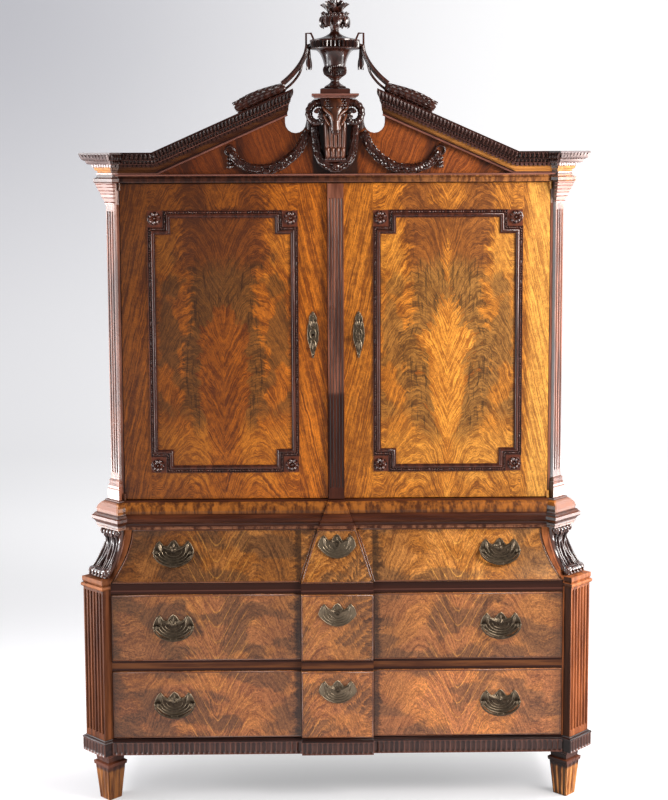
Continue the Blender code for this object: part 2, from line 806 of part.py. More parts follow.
def door(name, inner, outer):
    """A flat door that turns on a pivot pin at its foot and one at its head. Its origin is on their line."""
    sign = 1 if outer > inner else -1
    low, high = sorted((inner, outer))
    x = outer + sign * HINGE_OUT
    y = DOOR_FACE - HINGE_FRONT
    pins = []
    for where, ends in (
        ("foot", (WAIST_TOP + GAP, DOOR_BOTTOM + PIVOT_HIGH)),
        ("head", (DOOR_TOP - PIVOT_HIGH, TOP_BOTTOM - GAP)),
    ):
        path = [(x, y, z) for z in ends]
        pins.append(loft(f"{name}_pivot_{where}", tube(path, (PIVOT_RADIUS, PIVOT_RADIUS), 12)))
    rings = []
    edge = DOOR_EDGE
    for z, inset in ((DOOR_BOTTOM, edge), (DOOR_BOTTOM + edge, 0.0), (DOOR_TOP - edge, 0.0), (DOOR_TOP, edge)):
        near = DOOR_FACE + inset
        far = DOOR_FACE + DOOR_THICK
        left = low + inset
        right = high - inset
        rings.append([(left, near, z), (right, near, z), (right, far, z), (left, far, z)])
    made = loft(name, rings, "flame_veneer", origin=(x, y, DOOR_BOTTOM))
    return combine(made, pins)


def panel_moulding(name, sign):
    """A band that follows the panel and steps in round a square at each corner."""
    half = PANEL_BAND / 2
    low_x = PANEL_IN + half
    high_x = PANEL_OUT - half
    low_z = PANEL_LOW + half
    high_z = PANEL_HIGH - half
    wide = CORNER_WIDE - PANEL_BAND
    tall = CORNER_HIGH - PANEL_BAND
    path = [
        (low_x + wide, low_z),
        (high_x - wide, low_z),
        (high_x - wide, low_z + tall),
        (high_x, low_z + tall),
        (high_x, high_z - tall),
        (high_x - wide, high_z - tall),
        (high_x - wide, high_z),
        (low_x + wide, high_z),
        (low_x + wide, high_z - tall),
        (low_x, high_z - tall),
        (low_x, low_z + tall),
        (low_x + wide, low_z + tall),
    ]
    section = ((-1.0, 0.0), (-1.0, 0.45), (-0.6, 1.0), (0.1, 0.75), (0.55, 0.3), (1.0, 0.25), (1.0, 0.0))
    rings = []
    for i, (x, z) in enumerate(path):
        before = (Vector((x, z)) - Vector(path[i - 1])).normalized()
        after = (Vector(path[(i + 1) % len(path)]) - Vector((x, z))).normalized()
        out = Vector((before.y + after.y, -before.x - after.x))
        ring = []
        for across, proud in section:
            px = x - out.x * across * half
            pz = z - out.y * across * half
            ring.append((sign * px, DOOR_FACE - GAP - proud * PANEL_PROUD, pz))
        rings.append(ring)
    loft(name, rings, "dark_mahogany", closed=True)


CENTRE_FOOT = 0.038
CENTRE_CAP = 0.049
FLUTE_END = 0.003
CENTRE_FLUTES = 5


def centre_pilaster():
    base = DOOR_FACE - GAP
    front = base - CENTRE_PROUD
    half = CENTRE_HALF
    low = DOOR_BOTTOM + DOOR_EDGE
    high = DOOR_TOP - DOOR_EDGE
    levels = (
        (low, 0.0),
        (low + CENTRE_FOOT, 0.0),
        (low + CENTRE_FOOT + FLUTE_END, FLUTE_END),
        (high - CENTRE_CAP - FLUTE_END, FLUTE_END),
        (high - CENTRE_CAP, 0.0),
        (high, 0.0),
    )
    rings = []
    for z, depth in levels:
        outline = [(-half, base), (-half, front)]
        outline += fluted((-half, front), (half, front), CENTRE_FLUTES, depth)
        outline += [(half, front), (half, base)]
        rings.append(ring_at(outline, z))
    loft("centre_pilaster", rings, "dark_mahogany")


VASE = (
    (0.10, 0.500),
    (0.42, 0.435),
    (0.62, 0.390),
    (0.66, 0.300),
    (0.88, 0.190),
    (1.00, 0.040),
    (0.94, -0.110),
    (0.72, -0.210),
    (0.42, -0.320),
    (0.28, -0.410),
    (0.14, -0.500),
)


def door_escutcheon(name, sign, keyhole):
    wide, high = DOOR_ESCUTCHEON
    right = [(x * wide / 2, z * high) for x, z in VASE]
    outline = right + [(-x, z) for x, z in reversed(right)]
    outline = [(sign * ESCUTCHEON_X + x, ESCUTCHEON_Z + z) for x, z in outline]
    made = facing(name, outline, DOOR_FACE - GAP - PLATE_THICK, DOOR_FACE - GAP, "antique_bronze")
    combine(made, [keyhole], "DIFFERENCE")


KEYHOLE_END = 0.006


def keyhole(name, sign):
    x = sign * ESCUTCHEON_X
    path = [(x, y, ESCUTCHEON_Z) for y in (DOOR_FACE - KEY_OUT, DOOR_FACE + KEY_IN + KEYHOLE_END)]
    return loft(name, tube(path, (KEYHOLE_RADIUS, KEYHOLE_RADIUS), 12, AXIS_X))


# Key outside the plate: share of its reach, half thickness and half height
KEY_HEAD = (
    (0.22, 0.0052, 0.0052),
    (0.31, 0.0052, 0.0052),
    (0.35, 0.0030, 0.0045),
    (0.50, 0.0026, 0.0100),
    (0.71, 0.0026, 0.0125),
    (0.91, 0.0026, 0.0095),
    (1.0, 0.0020, 0.0040),
)
KEY_COLLAR = 0.18


def key():
    """A key in the right door. Its origin is on the middle of its shank."""
    x = ESCUTCHEON_X
    face = DOOR_FACE - PLATE_THICK
    shank = KEYHOLE_RADIUS - KEY_CLEAR
    levels = [(face + KEY_IN, shank, shank), (face - KEY_COLLAR * KEY_OUT, shank, shank)]
    levels += [(face - share * KEY_OUT, wide, high) for share, wide, high in KEY_HEAD]
    rings = []
    for y, wide, high in levels:
        ring = []
        for j in range(12):
            turn = 2 * math.pi * j / 12
            ring.append((x + wide * math.cos(turn), y, ESCUTCHEON_Z + high * math.sin(turn)))
        rings.append(ring)
    loft("key", rings, "antique_bronze", origin=(x, face, ESCUTCHEON_Z))


# Pediment
def rake_z(x):
    """Height of the cornice's top line at a distance from the middle."""
    return CORNICE_TOP + max(RAKE_START - x, 0.0) * RAKE_RISE


PIER_SHOULDER = 0.029
PIER_NECK_HALF = 0.042
CUT_STEPS = 8


def tympanum():
    """A flat board under the rakes, cut out in a U on each side of the middle pier."""
    top = CORNICE_TOP - TYMPANUM_DROP
    out = CABINET_SIDE - TYMPANUM_INSET
    radius = (RAKE_END - PIER_HALF) / 2
    middle = (RAKE_END + PIER_HALF) / 2
    right = [(out, CORNICE_BOTTOM), (out, top), (RAKE_START, top)]
    right.append((RAKE_END, rake_z(RAKE_END) - TYMPANUM_DROP))
    for i in range(CUT_STEPS + 1):
        turn = math.pi * i / CUT_STEPS
        right.append((middle + radius * math.cos(turn), CUT_BOTTOM + radius * (1.0 - math.sin(turn))))
    right.append((PIER_NECK_HALF, CUT_BOTTOM + PIER_SHOULDER))
    right.append((PIER_NECK_HALF, PIER_TOP))
    outline = right + [(-x, z) for x, z in reversed(right)]
    front = CABINET_FRONT + GAP
    facing("tympanum", outline, front, front + TYMPANUM_THICK, "flame_veneer")


# Cornice moulding: reach and share of its height
CORNICE_SECTION = (
    (0.0, 0.0),
    (0.018, 0.0),
    (0.020, 0.16),
    (0.026, 0.19),
    (0.030, 0.41),
    (0.036, 0.49),
    (0.044, 0.56),
    (0.052, 0.73),
    (0.060, 0.81),
    (0.064, 0.90),
    (0.064, 1.0),
    (0.0, 1.0),
)
RAKE_END_SLANT = 0.45


def cornice(name, sign):
    """A moulding round the corner block and along the front, then up the rake to a broken end."""
    base = [(CABINET_SIDE, BACK)]
    base += list(reversed(corner(CABINET_SIDE, CABINET_FRONT, CABINET_CANT, CABINET_PROUD)))
    out_of = []
    for i in range(len(base)):
        if i == 0:
            out_of.append(Vector((1.0, 0.0)))
            continue
        before = (Vector(base[i]) - Vector(base[i - 1])).normalized()
        if i < len(base) - 1:
            after = (Vector(base[i + 1]) - Vector(base[i])).normalized()
        else:
            after = Vector((-1.0, 0.0))
        first = Vector((-before.y, before.x))
        second = Vector((-after.y, after.x))
        out_of.append((first + second) / (1.0 + first.dot(second)))
    rings = []
    for (x, y), out in zip(base, out_of):
        ring = []
        for reach, share in CORNICE_SECTION:
            point = Vector((x, y)) + out * reach
            ring.append((point.x, point.y, CORNICE_BOTTOM + share * CORNICE_HIGH))
        rings.append(ring)
    lean = math.tan(math.atan(RAKE_RISE) / 2)
    for place in ("start", "end"):
        ring = []
        for reach, share in CORNICE_SECTION:
            x = RAKE_START - lean * CORNICE_HIGH * (1.0 - share)
            z = CORNICE_BOTTOM + share * CORNICE_HIGH
            if place == "end":
                stop = RAKE_END - RAKE_END_SLANT * reach
                z += (x - stop) * RAKE_RISE
                x = stop
            ring.append((x, CABINET_FRONT - reach, z))
        rings.append(ring)
    if sign < 0:
        rings = [mirrored(ring) for ring in rings]
    loft(name, rings, "dark_mahogany")


# Ram's horn: middle of its curl across and below the abacus, the curl's reach, its forward run and radii
HORN_X = 0.0605
HORN_DROP = 0.0545
HORN_REACH = (0.038, 0.022)
HORN_FORE = (0.0405, 0.0785)
HORN_RADII = (0.0125, 0.0062)
HORN_TURN = (155, 340)
HORN_STEPS = 12
HORN_TALL = 1.15

# Tapered block under the head: height above its foot, half width and how far it stands forward
CONSOLE_BLOCK = (
    (0.0, 0.030, 0.0305),
    (0.0115, 0.033, 0.0405),
    (0.0215, 0.031, 0.0445),
    (0.1045, 0.038, 0.0605),
    (0.1895, 0.044, 0.0655),
)

# Head: distance forward, drop below the abacus and radius
RAM_HEAD = (
    (0.0225, 0.040, 0.036),
    (0.0485, 0.040, 0.044),
    (0.0745, 0.046, 0.040),
    (0.0865, 0.076, 0.030),
    (0.0965, 0.103, 0.021),
    (0.1015, 0.120, 0.014),
)
NECK_HALF = 0.052
NECK_FORE = 0.0595
NECK_DROP = 0.043
NECK_LAP = 0.004


def spiral(sign):
    """A ram's horn that curls forward as it turns."""
    path = []
    radii = []
    for i in range(HORN_STEPS + 1):
        share = i / HORN_STEPS
        turn = math.radians(HORN_TURN[0] - HORN_TURN[1] * share)
        reach = blend(*HORN_REACH, share)
        x = HORN_X + reach * math.cos(turn)
        z = ABACUS[0] - HORN_DROP + reach * math.sin(turn) * HORN_TALL
        path.append((sign * x, CABINET_FRONT - blend(*HORN_FORE, share), z))
        radii.append(blend(*HORN_RADII, share))
    return tube(path, radii, 6)


def ram_console():
    front = CABINET_FRONT
    rings = []
    for up, half, fore in CONSOLE_BLOCK:
        z = CONSOLE_LOW + up
        near = front - fore
        rings.append([(-half, near, z), (half, near, z), (half, front, z), (-half, front, z)])
    made = loft("ram_console", rings, "dark_mahogany")
    head = [(0.0, front - fore, ABACUS[0] - drop) for fore, drop, _ in RAM_HEAD]
    radii = [radius for _, _, radius in RAM_HEAD]
    abacus_depth = (front - ABACUS_FORE, front + ABACUS_AFT)
    neck = ((front - NECK_FORE, front - SIDE_STEP), (ABACUS[0] - NECK_DROP, ABACUS[0] + NECK_LAP))
    parts = [
        loft("ram_head", tube(head, radii, 8, AXIS_X)),
        loft("ram_horn_left", spiral(-1)),
        loft("ram_horn_right", spiral(1)),
        block("ram_abacus", (-ABACUS_HALF, ABACUS_HALF), abacus_depth, ABACUS),
        block("ram_neck", (-NECK_HALF, NECK_HALF), *neck),
    ]
    combine(made, parts)


# Festoon from its ring inwards: X, height above the cornice's top and radius
FESTOON = (
    (0.3585, 0.000, 0.0070),
    (0.3400, -0.026, 0.0090),
    (0.3000, -0.052, 0.0120),
    (0.2550, -0.0595, 0.0138),
    (0.2050, -0.052, 0.0138),
    (0.1600, -0.026, 0.0135),
    (0.1200, 0.010, 0.0120),
    (0.0985, 0.052, 0.0090),
)
TASSEL_X = 0.358
TASSEL = (
    (0.012, 0.010),
    (-0.018, 0.007),
    (-0.052, 0.009),
    (-0.066, 0.004),
)


def festoon(name, sign):
    """A swag of leaves from a ring beside the horn, with a drop hanging from the ring."""
    lie = CABINET_FRONT
    swag = [(sign * x, lie - radius, CORNICE_TOP + up) for x, up, radius in FESTOON]
    made = loft(name, tube(swag, [radius for _, _, radius in FESTOON]), "dark_mahogany")
    hanging = [(sign * TASSEL_X, lie - radius, CORNICE_TOP + up) for up, radius in TASSEL]
    combine(made, [loft(name + "_drop", tube(hanging, [radius for _, radius in TASSEL]))])


# Urn: share of its height and radius; the foot's levels are square
URN_FOOT = (
    (0.0, 0.050),
    (0.052, 0.050),
    (0.063, 0.034),
)
URN_BODY = (
    (0.078, 0.024),
    (0.132, 0.0136),
    (0.173, 0.020),
    (0.192, 0.032),
    (0.230, 0.041),
    (0.260, 0.042),
    (0.293, 0.034),
    (0.306, 0.025),
    (0.344, 0.028),
    (0.407, 0.041),
    (0.461, 0.058),
    (0.471, 0.078),
    (0.490, 0.084),
    (0.540, 0.084),
    (0.569, 0.082),
    (0.578, 0.066),
    (0.601, 0.040),
    (0.635, 0.020),
    (0.674, 0.012),
    (0.693, 0.020),
    (0.737, 0.036),
    (0.794, 0.044),
    (0.857, 0.040),
    (0.921, 0.026),
    (0.965, 0.014),
    (1.0, 0.004),
)
URN_SIDES = 16


def urn():
    """Turned body with a square foot, two key handles and a tall finial."""
    low = ABACUS[1] + GAP
    high = ABACUS[1] + URN_HIGH
    rings = []
    for share, radius in URN_FOOT + URN_BODY:
        z = blend(low, high, share)
        ring = []
        for j in range(URN_SIDES):
            turn = 2 * math.pi * (j + 0.5) / URN_SIDES
            reach = radius
            if share <= URN_FOOT[-1][0]:
                reach = radius / max(abs(math.cos(turn)), abs(math.sin(turn)))
            ring.append((reach * math.cos(turn), URN_Y + reach * math.sin(turn), z))
        rings.append(ring)
    made = loft("urn", rings, "dark_mahogany")
    heights = [ABACUS[1] + rise for rise in URN_HANDLE_RISE]
    depth = (URN_Y - URN_HANDLE_HALF, URN_Y + URN_HANDLE_HALF)
    parts = []
    for sign in (-1, 1):
        across = sorted(sign * x for x in URN_HANDLE_X)
        parts.append(block(f"urn_handle_{sign}", across, depth, heights))
    combine(made, parts)


# Garland where it hangs: X, height above the abacus and radius; then where it lies on the rake: X and radius
GARLAND_HANGS = (
    (0.0901, 0.1605, 0.008),
    (0.0985, 0.1335, 0.008),
    (0.1180, 0.0965, 0.009),
    (0.1480, 0.0605, 0.011),
)
GARLAND_LIES = (
    (0.182, 0.016),
    (0.212, 0.020),
    (0.246, 0.0235),
    (0.282, 0.0235),
    (0.314, 0.0205),
    (0.334, 0.012),
)
GARLAND_FORE = 0.012
OCTAGON_REACH = 0.95


def garland(name, sign):
    """Leaves that fall from the urn's rim and lie along the raking cornice."""
    y = URN_Y - GARLAND_FORE
    points = [(sign * x, y, ABACUS[1] + up) for x, up, _ in GARLAND_HANGS]
    radii = [radius for _, _, radius in GARLAND_HANGS]
    for x, radius in GARLAND_LIES:
        rest = (OCTAGON_REACH * radius + GAP) * math.sqrt(1.0 + RAKE_RISE**2)
        points.append((sign * x, y, rake_z(x) + rest))
        radii.append(radius)
    loft(name, tube(points, radii), "dark_mahogany")


def chest():
    plinth()
    for name, sign in (("left", -1), ("right", 1)):
        foot("foot_front_" + name, sign * FOOT_X, FRONT_FOOT_Y)
        foot("foot_back_" + name, sign * FOOT_X, BACK_FOOT_Y)
        corner_post("corner_post_" + name, sign)
        console("console_" + name, sign)
        chest_side("chest_side_" + name, sign)
    chest_back()
    dust_board("rail_lower", LOWER_DRAWER[1], MIDDLE_DRAWER[0], LOWER_BOX_HALF)
    dust_board("rail_upper", MIDDLE_DRAWER[1], UPPER_DRAWER[0], UPPER_BOX_HALF)
    waist()


def drawers():
    spans = {
        "lower": (LOWER_DRAWER, PLINTH_TOP + GAP, False),
        "middle": (MIDDLE_DRAWER, MIDDLE_DRAWER[0] - RAIL_GAP + GAP, False),
        "upper": (UPPER_DRAWER, UPPER_DRAWER[0] - RAIL_GAP + GAP, True),
    }
    for i, (name, (span, floor, flared)) in enumerate(spans.items()):
        drawer_front("drawer_front_" + name, span, flared)
        half = UPPER_BOX_HALF if flared else LOWER_BOX_HALF
        rear = (DRAWER_TOP_FACE if flared else DRAWER_FACE) + FRONT_THICK
        drawer_box("drawer_box_" + name, half, rear, floor, span[1] - BOX_CLEAR)
        middle = (span[0] + span[1]) / 2
        drawer_escutcheon("drawer_escutcheon_" + name, middle + CENTRE_RISES[i])
        for where, sign in (("left", -1), ("right", 1)):
            handle(f"{name}_{where}", sign, middle + HANDLE_RISES[i])


def doors():
    for name, sign, inner in (("left", -1, -LEFT_DOOR_IN), ("right", 1, RIGHT_DOOR_IN)):
        hole = keyhole("keyhole_" + name, sign)
        made = door("door_" + name, inner, sign * DOOR_OUT)
        combine(made, [hole], "DIFFERENCE")
        door_escutcheon("door_escutcheon_" + name, sign, hole)
        panel_moulding("panel_moulding_" + name, sign)
    centre_pilaster()
    key()


def pediment():
    tympanum()
    ram_console()
    urn()
    for name, sign in (("left", -1), ("right", 1)):
        cornice("cornice_" + name, sign)
        festoon("festoon_" + name, sign)
        garland("garland_" + name, sign)


chest()
drawers()
cabinet_case()
doors()
pediment()
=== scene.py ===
"""The looks of the cabinet on chest: polished flame mahogany, carved mouldings and old bronze mounts."""

import json
import math
import random

import bmesh
import bpy
from mathutils import Matrix, Vector


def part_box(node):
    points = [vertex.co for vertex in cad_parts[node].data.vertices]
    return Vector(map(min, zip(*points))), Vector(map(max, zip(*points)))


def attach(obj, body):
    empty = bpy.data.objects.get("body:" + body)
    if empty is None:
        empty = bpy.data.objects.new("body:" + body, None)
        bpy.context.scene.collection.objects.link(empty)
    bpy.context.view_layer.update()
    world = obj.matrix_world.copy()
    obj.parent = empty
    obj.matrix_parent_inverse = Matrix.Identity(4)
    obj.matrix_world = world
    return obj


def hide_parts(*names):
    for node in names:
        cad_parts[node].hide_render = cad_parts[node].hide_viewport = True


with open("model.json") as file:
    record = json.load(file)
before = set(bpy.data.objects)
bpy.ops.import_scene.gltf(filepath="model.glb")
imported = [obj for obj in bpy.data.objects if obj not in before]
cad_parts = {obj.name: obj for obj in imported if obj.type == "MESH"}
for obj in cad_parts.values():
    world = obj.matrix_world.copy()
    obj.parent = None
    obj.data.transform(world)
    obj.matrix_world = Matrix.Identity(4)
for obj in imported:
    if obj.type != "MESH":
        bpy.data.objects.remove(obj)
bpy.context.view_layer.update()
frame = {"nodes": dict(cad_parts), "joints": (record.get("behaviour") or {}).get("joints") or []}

NODES = frame["nodes"]
SIDES = (("left", -1), ("right", 1))


def blend(low, high, share):
    return low + (high - low) * share


def heights(name):
    """The lowest and the highest point of a node."""
    low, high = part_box(name)
    return low.z, high.z


# Places in the part's frame, read from it or repeated from the part's own values
DATUM_Y = -0.2925
SLANT = math.sqrt(0.5)
PANEL_LOW, PANEL_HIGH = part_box("panel_moulding_right")
CABINET_FRONT = 0.1005 + DATUM_Y
CORNICE_BOTTOM = heights("tympanum")[0]
CORNICE_HIGH = 0.0737
CORNICE_TOP = CORNICE_BOTTOM + CORNICE_HIGH
RAKE_START = 0.62
RAKE_END = 0.17
RAKE_RISE = 0.4426
DRAWER_SPANS = {name: heights("drawer_front_" + name) for name in ("lower", "middle", "upper")}
DRAWER_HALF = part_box("drawer_front_lower")[1].x
DRAWER_TOP_HALF = 0.711
DRAWER_Y = 0.017 + DATUM_Y
DRAWER_TOP_Y = 0.075 + DATUM_Y
FLARE_POWER = 1.8
BREAK_HALF = 0.125
BREAK_TOP_HALF = 0.066
BREAK_STEP = 0.016
DOOR_SPINE = (PANEL_LOW.x + PANEL_HIGH.x) / 2
FIELD_SPINE = 0.419
CENTRE_SPINE = -0.17

# Camera, fitted to the photograph: its place, its turns and its focal length in pixels
PHOTO_HIGH = 800
CAMERA_AT = (-0.0721, -5.5047, 2.2594)
CAMERA_YAW = -0.0124
CAMERA_PITCH = 0.1078
CAMERA_ROLL = 0.0042
FOCAL_PIXELS = 1550.0
CENTRE_ROW = 319.13
SENSOR = 36.0


def make_camera():
    data = bpy.data.cameras.new("camera")
    data.sensor_width = SENSOR
    data.lens = FOCAL_PIXELS * SENSOR / PHOTO_HIGH
    data.shift_y = (CENTRE_ROW - PHOTO_HIGH / 2) / PHOTO_HIGH
    up = Vector((0, 0, 1))
    right = Vector((math.cos(CAMERA_YAW), math.sin(CAMERA_YAW), 0))
    ahead = Vector((-math.sin(CAMERA_YAW), math.cos(CAMERA_YAW), 0))
    level = up * math.cos(CAMERA_PITCH) + ahead * math.sin(CAMERA_PITCH)
    forward = ahead * math.cos(CAMERA_PITCH) - up * math.sin(CAMERA_PITCH)
    x_axis = right * math.cos(CAMERA_ROLL) - level * math.sin(CAMERA_ROLL)
    y_axis = right * math.sin(CAMERA_ROLL) + level * math.cos(CAMERA_ROLL)
    turn = Matrix((x_axis, y_axis, -forward)).transposed()
    made = bpy.data.objects.new("camera", data)
    made.matrix_world = Matrix.Translation(CAMERA_AT) @ turn.to_4x4()
    bpy.context.scene.collection.objects.link(made)
    bpy.context.scene.camera = made


class Value:
    """A number or colour that differs from place to place and takes the signs of arithmetic."""

    def __init__(self, nodes, socket):
        self.nodes = nodes
        self.socket = socket

    def __add__(self, other):
        return self.nodes.math("ADD", self, other)

    def __sub__(self, other):
        return self.nodes.math("SUBTRACT", self, other)

    def __rsub__(self, other):
        return self.nodes.math("SUBTRACT", other, self)

    def __mul__(self, other):
        return self.nodes.math("MULTIPLY", self, other)

    def __abs__(self):
        return self.nodes.math("ABSOLUTE", self)


class Nodes:
    """A material whose colour and relief are built from small sums of the piece's own coordinates."""

    def __init__(self, name):
        self.material = bpy.data.materials.new(name)
        self.material.use_nodes = True
        self.tree = self.material.node_tree
        self.shader = self.tree.nodes["Principled BSDF"]
        self.place = self.new("TexCoord").outputs["Object"]
        self.x, self.y, self.z = self.split(self.place)

    def new(self, kind):
        return self.tree.nodes.new("ShaderNode" + kind)

    def put(self, socket, value):
        if isinstance(value, Value):
            value = value.socket
        if isinstance(value, bpy.types.NodeSocket):
            self.tree.links.new(value, socket)
        elif isinstance(value, tuple) and len(value) == 3 and socket.type == "RGBA":
            socket.default_value = (*value, 1.0)
        else:
            socket.default_value = value

    def set(self, name, value):
        self.put(self.shader.inputs[name], value)

    def math(self, operation, *values):
        node = self.new("Math")
        node.operation = operation
        for socket, value in zip(node.inputs, values):
            self.put(socket, value)
        return Value(self, node.outputs[0])

    def step(self, value, low, high):
        """0 below low, 1 above high and smooth between them."""
        node = self.new("MapRange")
        node.interpolation_type = "SMOOTHSTEP"
        self.put(node.inputs["Value"], value)
        node.inputs["From Min"].default_value = low
        node.inputs["From Max"].default_value = high
        return Value(self, node.outputs["Result"])

    def fall(self, value, low, high):
        """1 below low, 0 above high and smooth between them."""
        return 1.0 - self.step(value, low, high)

    def inside(self, value, low, high, soft):
        """1 between low and high, with soft edges."""
        return self.step(value, low - soft, low + soft) - self.step(value, high - soft, high + soft)

    def split(self, vector):
        node = self.new("SeparateXYZ")
        self.put(node.inputs[0], vector)
        return [Value(self, socket) for socket in node.outputs]

    def vector(self, x, y, z):
        node = self.new("CombineXYZ")
        for socket, value in zip(node.inputs, (x, y, z)):
            self.put(socket, value)
        return Value(self, node.outputs[0])

    def noise(self, vector, scale=1.0, detail=2.0, roughness=0.5):
        node = self.new("TexNoise")
        self.put(node.inputs["Vector"], vector)
        node.inputs["Scale"].default_value = scale
        node.inputs["Detail"].default_value = detail
        node.inputs["Roughness"].default_value = roughness
        return Value(self, node.outputs["Fac"])

    def streaks(self, x, y, z, detail=2.0, roughness=0.5):
        """Noise that is stretched by the three values it is read at."""
        return self.noise(self.vector(x, y, z), 1.0, detail, roughness)

    def ramp(self, value, stops):
        node = self.new("ValToRGB")
        points = node.color_ramp.elements
        while len(points) < len(stops):
            points.new(0.5)
        for point, (place, colour) in zip(points, stops):
            point.position = place
            point.color = (*colour, 1.0)
        self.put(node.inputs[0], value)
        return Value(self, node.outputs["Color"])

    def mix(self, share, first, second, how="MIX"):
        node = self.new("Mix")
        node.data_type = "RGBA"
        node.blend_type = how
        self.put(node.inputs["Factor"], share)
        self.put(node.inputs[6], first)
        self.put(node.inputs[7], second)
        return Value(self, node.outputs[2])

    def edges(self, low, high):
        """1 on ridges and edges, 0 in hollows."""
        return self.step(self.new("NewGeometry").outputs["Pointiness"], low, high)

    def facing(self):
        """The share by which the surface faces to the right."""
        return self.split(self.new("NewGeometry").outputs["Normal"])[0]

    def bump(self, height, distance):
        node = self.new("Bump")
        node.inputs["Distance"].default_value = distance
        self.put(node.inputs["Height"], height)
        self.set("Normal", node.outputs["Normal"])

    def polish(self, roughness, coat, duller=0.0):
        """Old French polish, duller in patches."""
        cloud = self.noise(self.place, 7.0, 3.0)
        self.set("Roughness", cloud * 0.16 + (roughness - 0.08) + duller)
        self.set("Coat Weight", coat)
        self.set("Coat Roughness", 0.12)


# Pairs of linear colours, in the hollows of the figure and on its ridges
GOLD = ((0.2, 0.064, 0.011), (0.64, 0.255, 0.042))
RUDDY = ((0.14, 0.042, 0.009), (0.5, 0.185, 0.03))
HONEY = ((0.3, 0.095, 0.014), (0.86, 0.39, 0.075))
OLIVE = ((0.115, 0.056, 0.022), (0.29, 0.145, 0.056))
DARK = ((0.045, 0.014, 0.006), (0.15, 0.05, 0.016))
BROWN = ((0.12, 0.038, 0.011), (0.33, 0.12, 0.028))
PALE = ((0.48, 0.2, 0.045), (0.9, 0.48, 0.11))
SUNNY = ((0.3, 0.105, 0.028), (0.8, 0.35, 0.09))
DUSK = ((0.08, 0.036, 0.016), (0.26, 0.122, 0.05))
PINK = ((0.23, 0.078, 0.03), (0.64, 0.27, 0.1))
BAND = ((0.12, 0.05, 0.014), (0.38, 0.185, 0.055))
# Dark veins; the same colours paint shadow beside the drawers' break and round the ram's head
VEIN_AND_SHADOW = ((0.022, 0.01, 0.005), (0.05, 0.022, 0.008))


def flame(name, spine, reach, steep, shade, patches, weights=(0.27, 0.39, 0.24), spread=(0.42, 0.59),
          grit=60.0, stile=None, arc=None, seed=0.0, fold=False):
    """Crotch mahogany, mirrored about its spine. Streaks rise from the spine and arch over at reach.

    shade is a place and a colour on the left and on the right, blended between them as painted light and
    shade, patches paints the zones of the figure, weights are the shares of streaks, fibres and mottle,
    spread sets the contrast between hollow and ridge, grit is the fineness of the mottle,
    stile is where a straight-grained border starts, and arc gives a field in the middle a figure of its own."""
    n = Nodes(name)
    x = abs(n.x) if fold else n.x
    across = abs(x - spine)
    if arc:
        half = BREAK_HALF - n.step(n.z, *DRAWER_SPANS["upper"]) * (BREAK_HALF - BREAK_TOP_HALF)
        centre = n.math("LESS_THAN", abs(n.x), half)
        other = abs(n.x - arc)
        across = across + centre * (other - across)
    side = n.math("SIGN", n.x) * 1.7 + seed
    half_side = n.math("SIGN", x - spine) * 0.21 + side
    drift = n.streaks(across * 6.0, n.z * 3.5, seed) - 0.5
    shift = n.streaks(across * 15.0, n.z * 10.0, half_side, 3.0) - 0.5
    crinkle = n.streaks(across * 75.0, n.z * 42.0, half_side) - 0.5
    bent = across + drift * 0.06
    rise = n.math("SINE", n.math("MINIMUM", bent, reach * 1.9) * (math.pi / 2 / reach)) * (reach * steep)
    along = n.z - rise + shift * 0.075 + crinkle * 0.013
    straight = None
    if stile:
        straight = n.step(across, stile - 0.001, stile + 0.001)
        lean = n.x + n.math("SIGN", n.x - spine) * n.z * 0.24
        lean = lean + shift * 0.016 + crinkle * 0.006
        along = along + straight * (lean - along)
    streak = n.streaks(along * 58.0, across * 6.0, half_side, 4.0, 0.6)
    fibre = n.streaks(along * 190.0, across * 17.0, half_side, 3.0, 0.6)
    hair = n.streaks(along * 520.0, across * 45.0, half_side, 2.0, 0.6)
    mottle = n.streaks(n.x * grit, n.z * (grit * 0.74), side, 4.0, 0.65)
    speck = n.streaks(n.x * 210.0, n.z * 170.0, side, 3.0, 0.7)
    pore = n.streaks(n.x * 520.0, n.z * 260.0, side, 2.0, 0.7)
    figure = hair * 0.1 + streak * weights[0]
    figure = figure + fibre * weights[1] + mottle * weights[2]
    ragged = (mottle - 0.5) * 0.07 + (streak - 0.5) * 0.12
    zones = patches(n, across, n.z, drift * 0.16, ragged)
    deep, light = GOLD
    for share, (low, high) in zones:
        if straight is not None:
            share = share * (1.0 - straight * 0.85)
        deep = n.mix(share, deep, low)
        light = n.mix(share, light, high)
    colour = n.mix(n.step(figure, *spread), deep, light)
    grain = hair * 0.4 + pore * 0.3 + speck * 0.3
    lines = ((0.38, (0.42, 0.37, 0.33)), (0.51, (1.0, 1.0, 1.0)), (0.66, (1.42, 1.45, 1.4)))
    colour = n.mix(0.9, colour, n.ramp(grain, lines), "MULTIPLY")
    # Painted light and shade: a colour that changes from the left place to the right one
    (left, first), (right, second) = shade
    painted_light_tint = n.mix((n.x - left) * (1.0 / (right - left)), first, second)
    colour = n.mix(1.0, colour, painted_light_tint, "MULTIPLY")
    corner_shade = n.step(n.z, 1.45, 2.16) * n.fall(n.x, -0.55, 0.05)
    colour = n.mix(corner_shade * 0.42, colour, (0.03, 0.008, 0.002))
    n.set("Base Color", colour)
    n.polish(0.33, 0.25)
    n.bump(hair * 0.6 + pore, 0.00012)
    return n.material


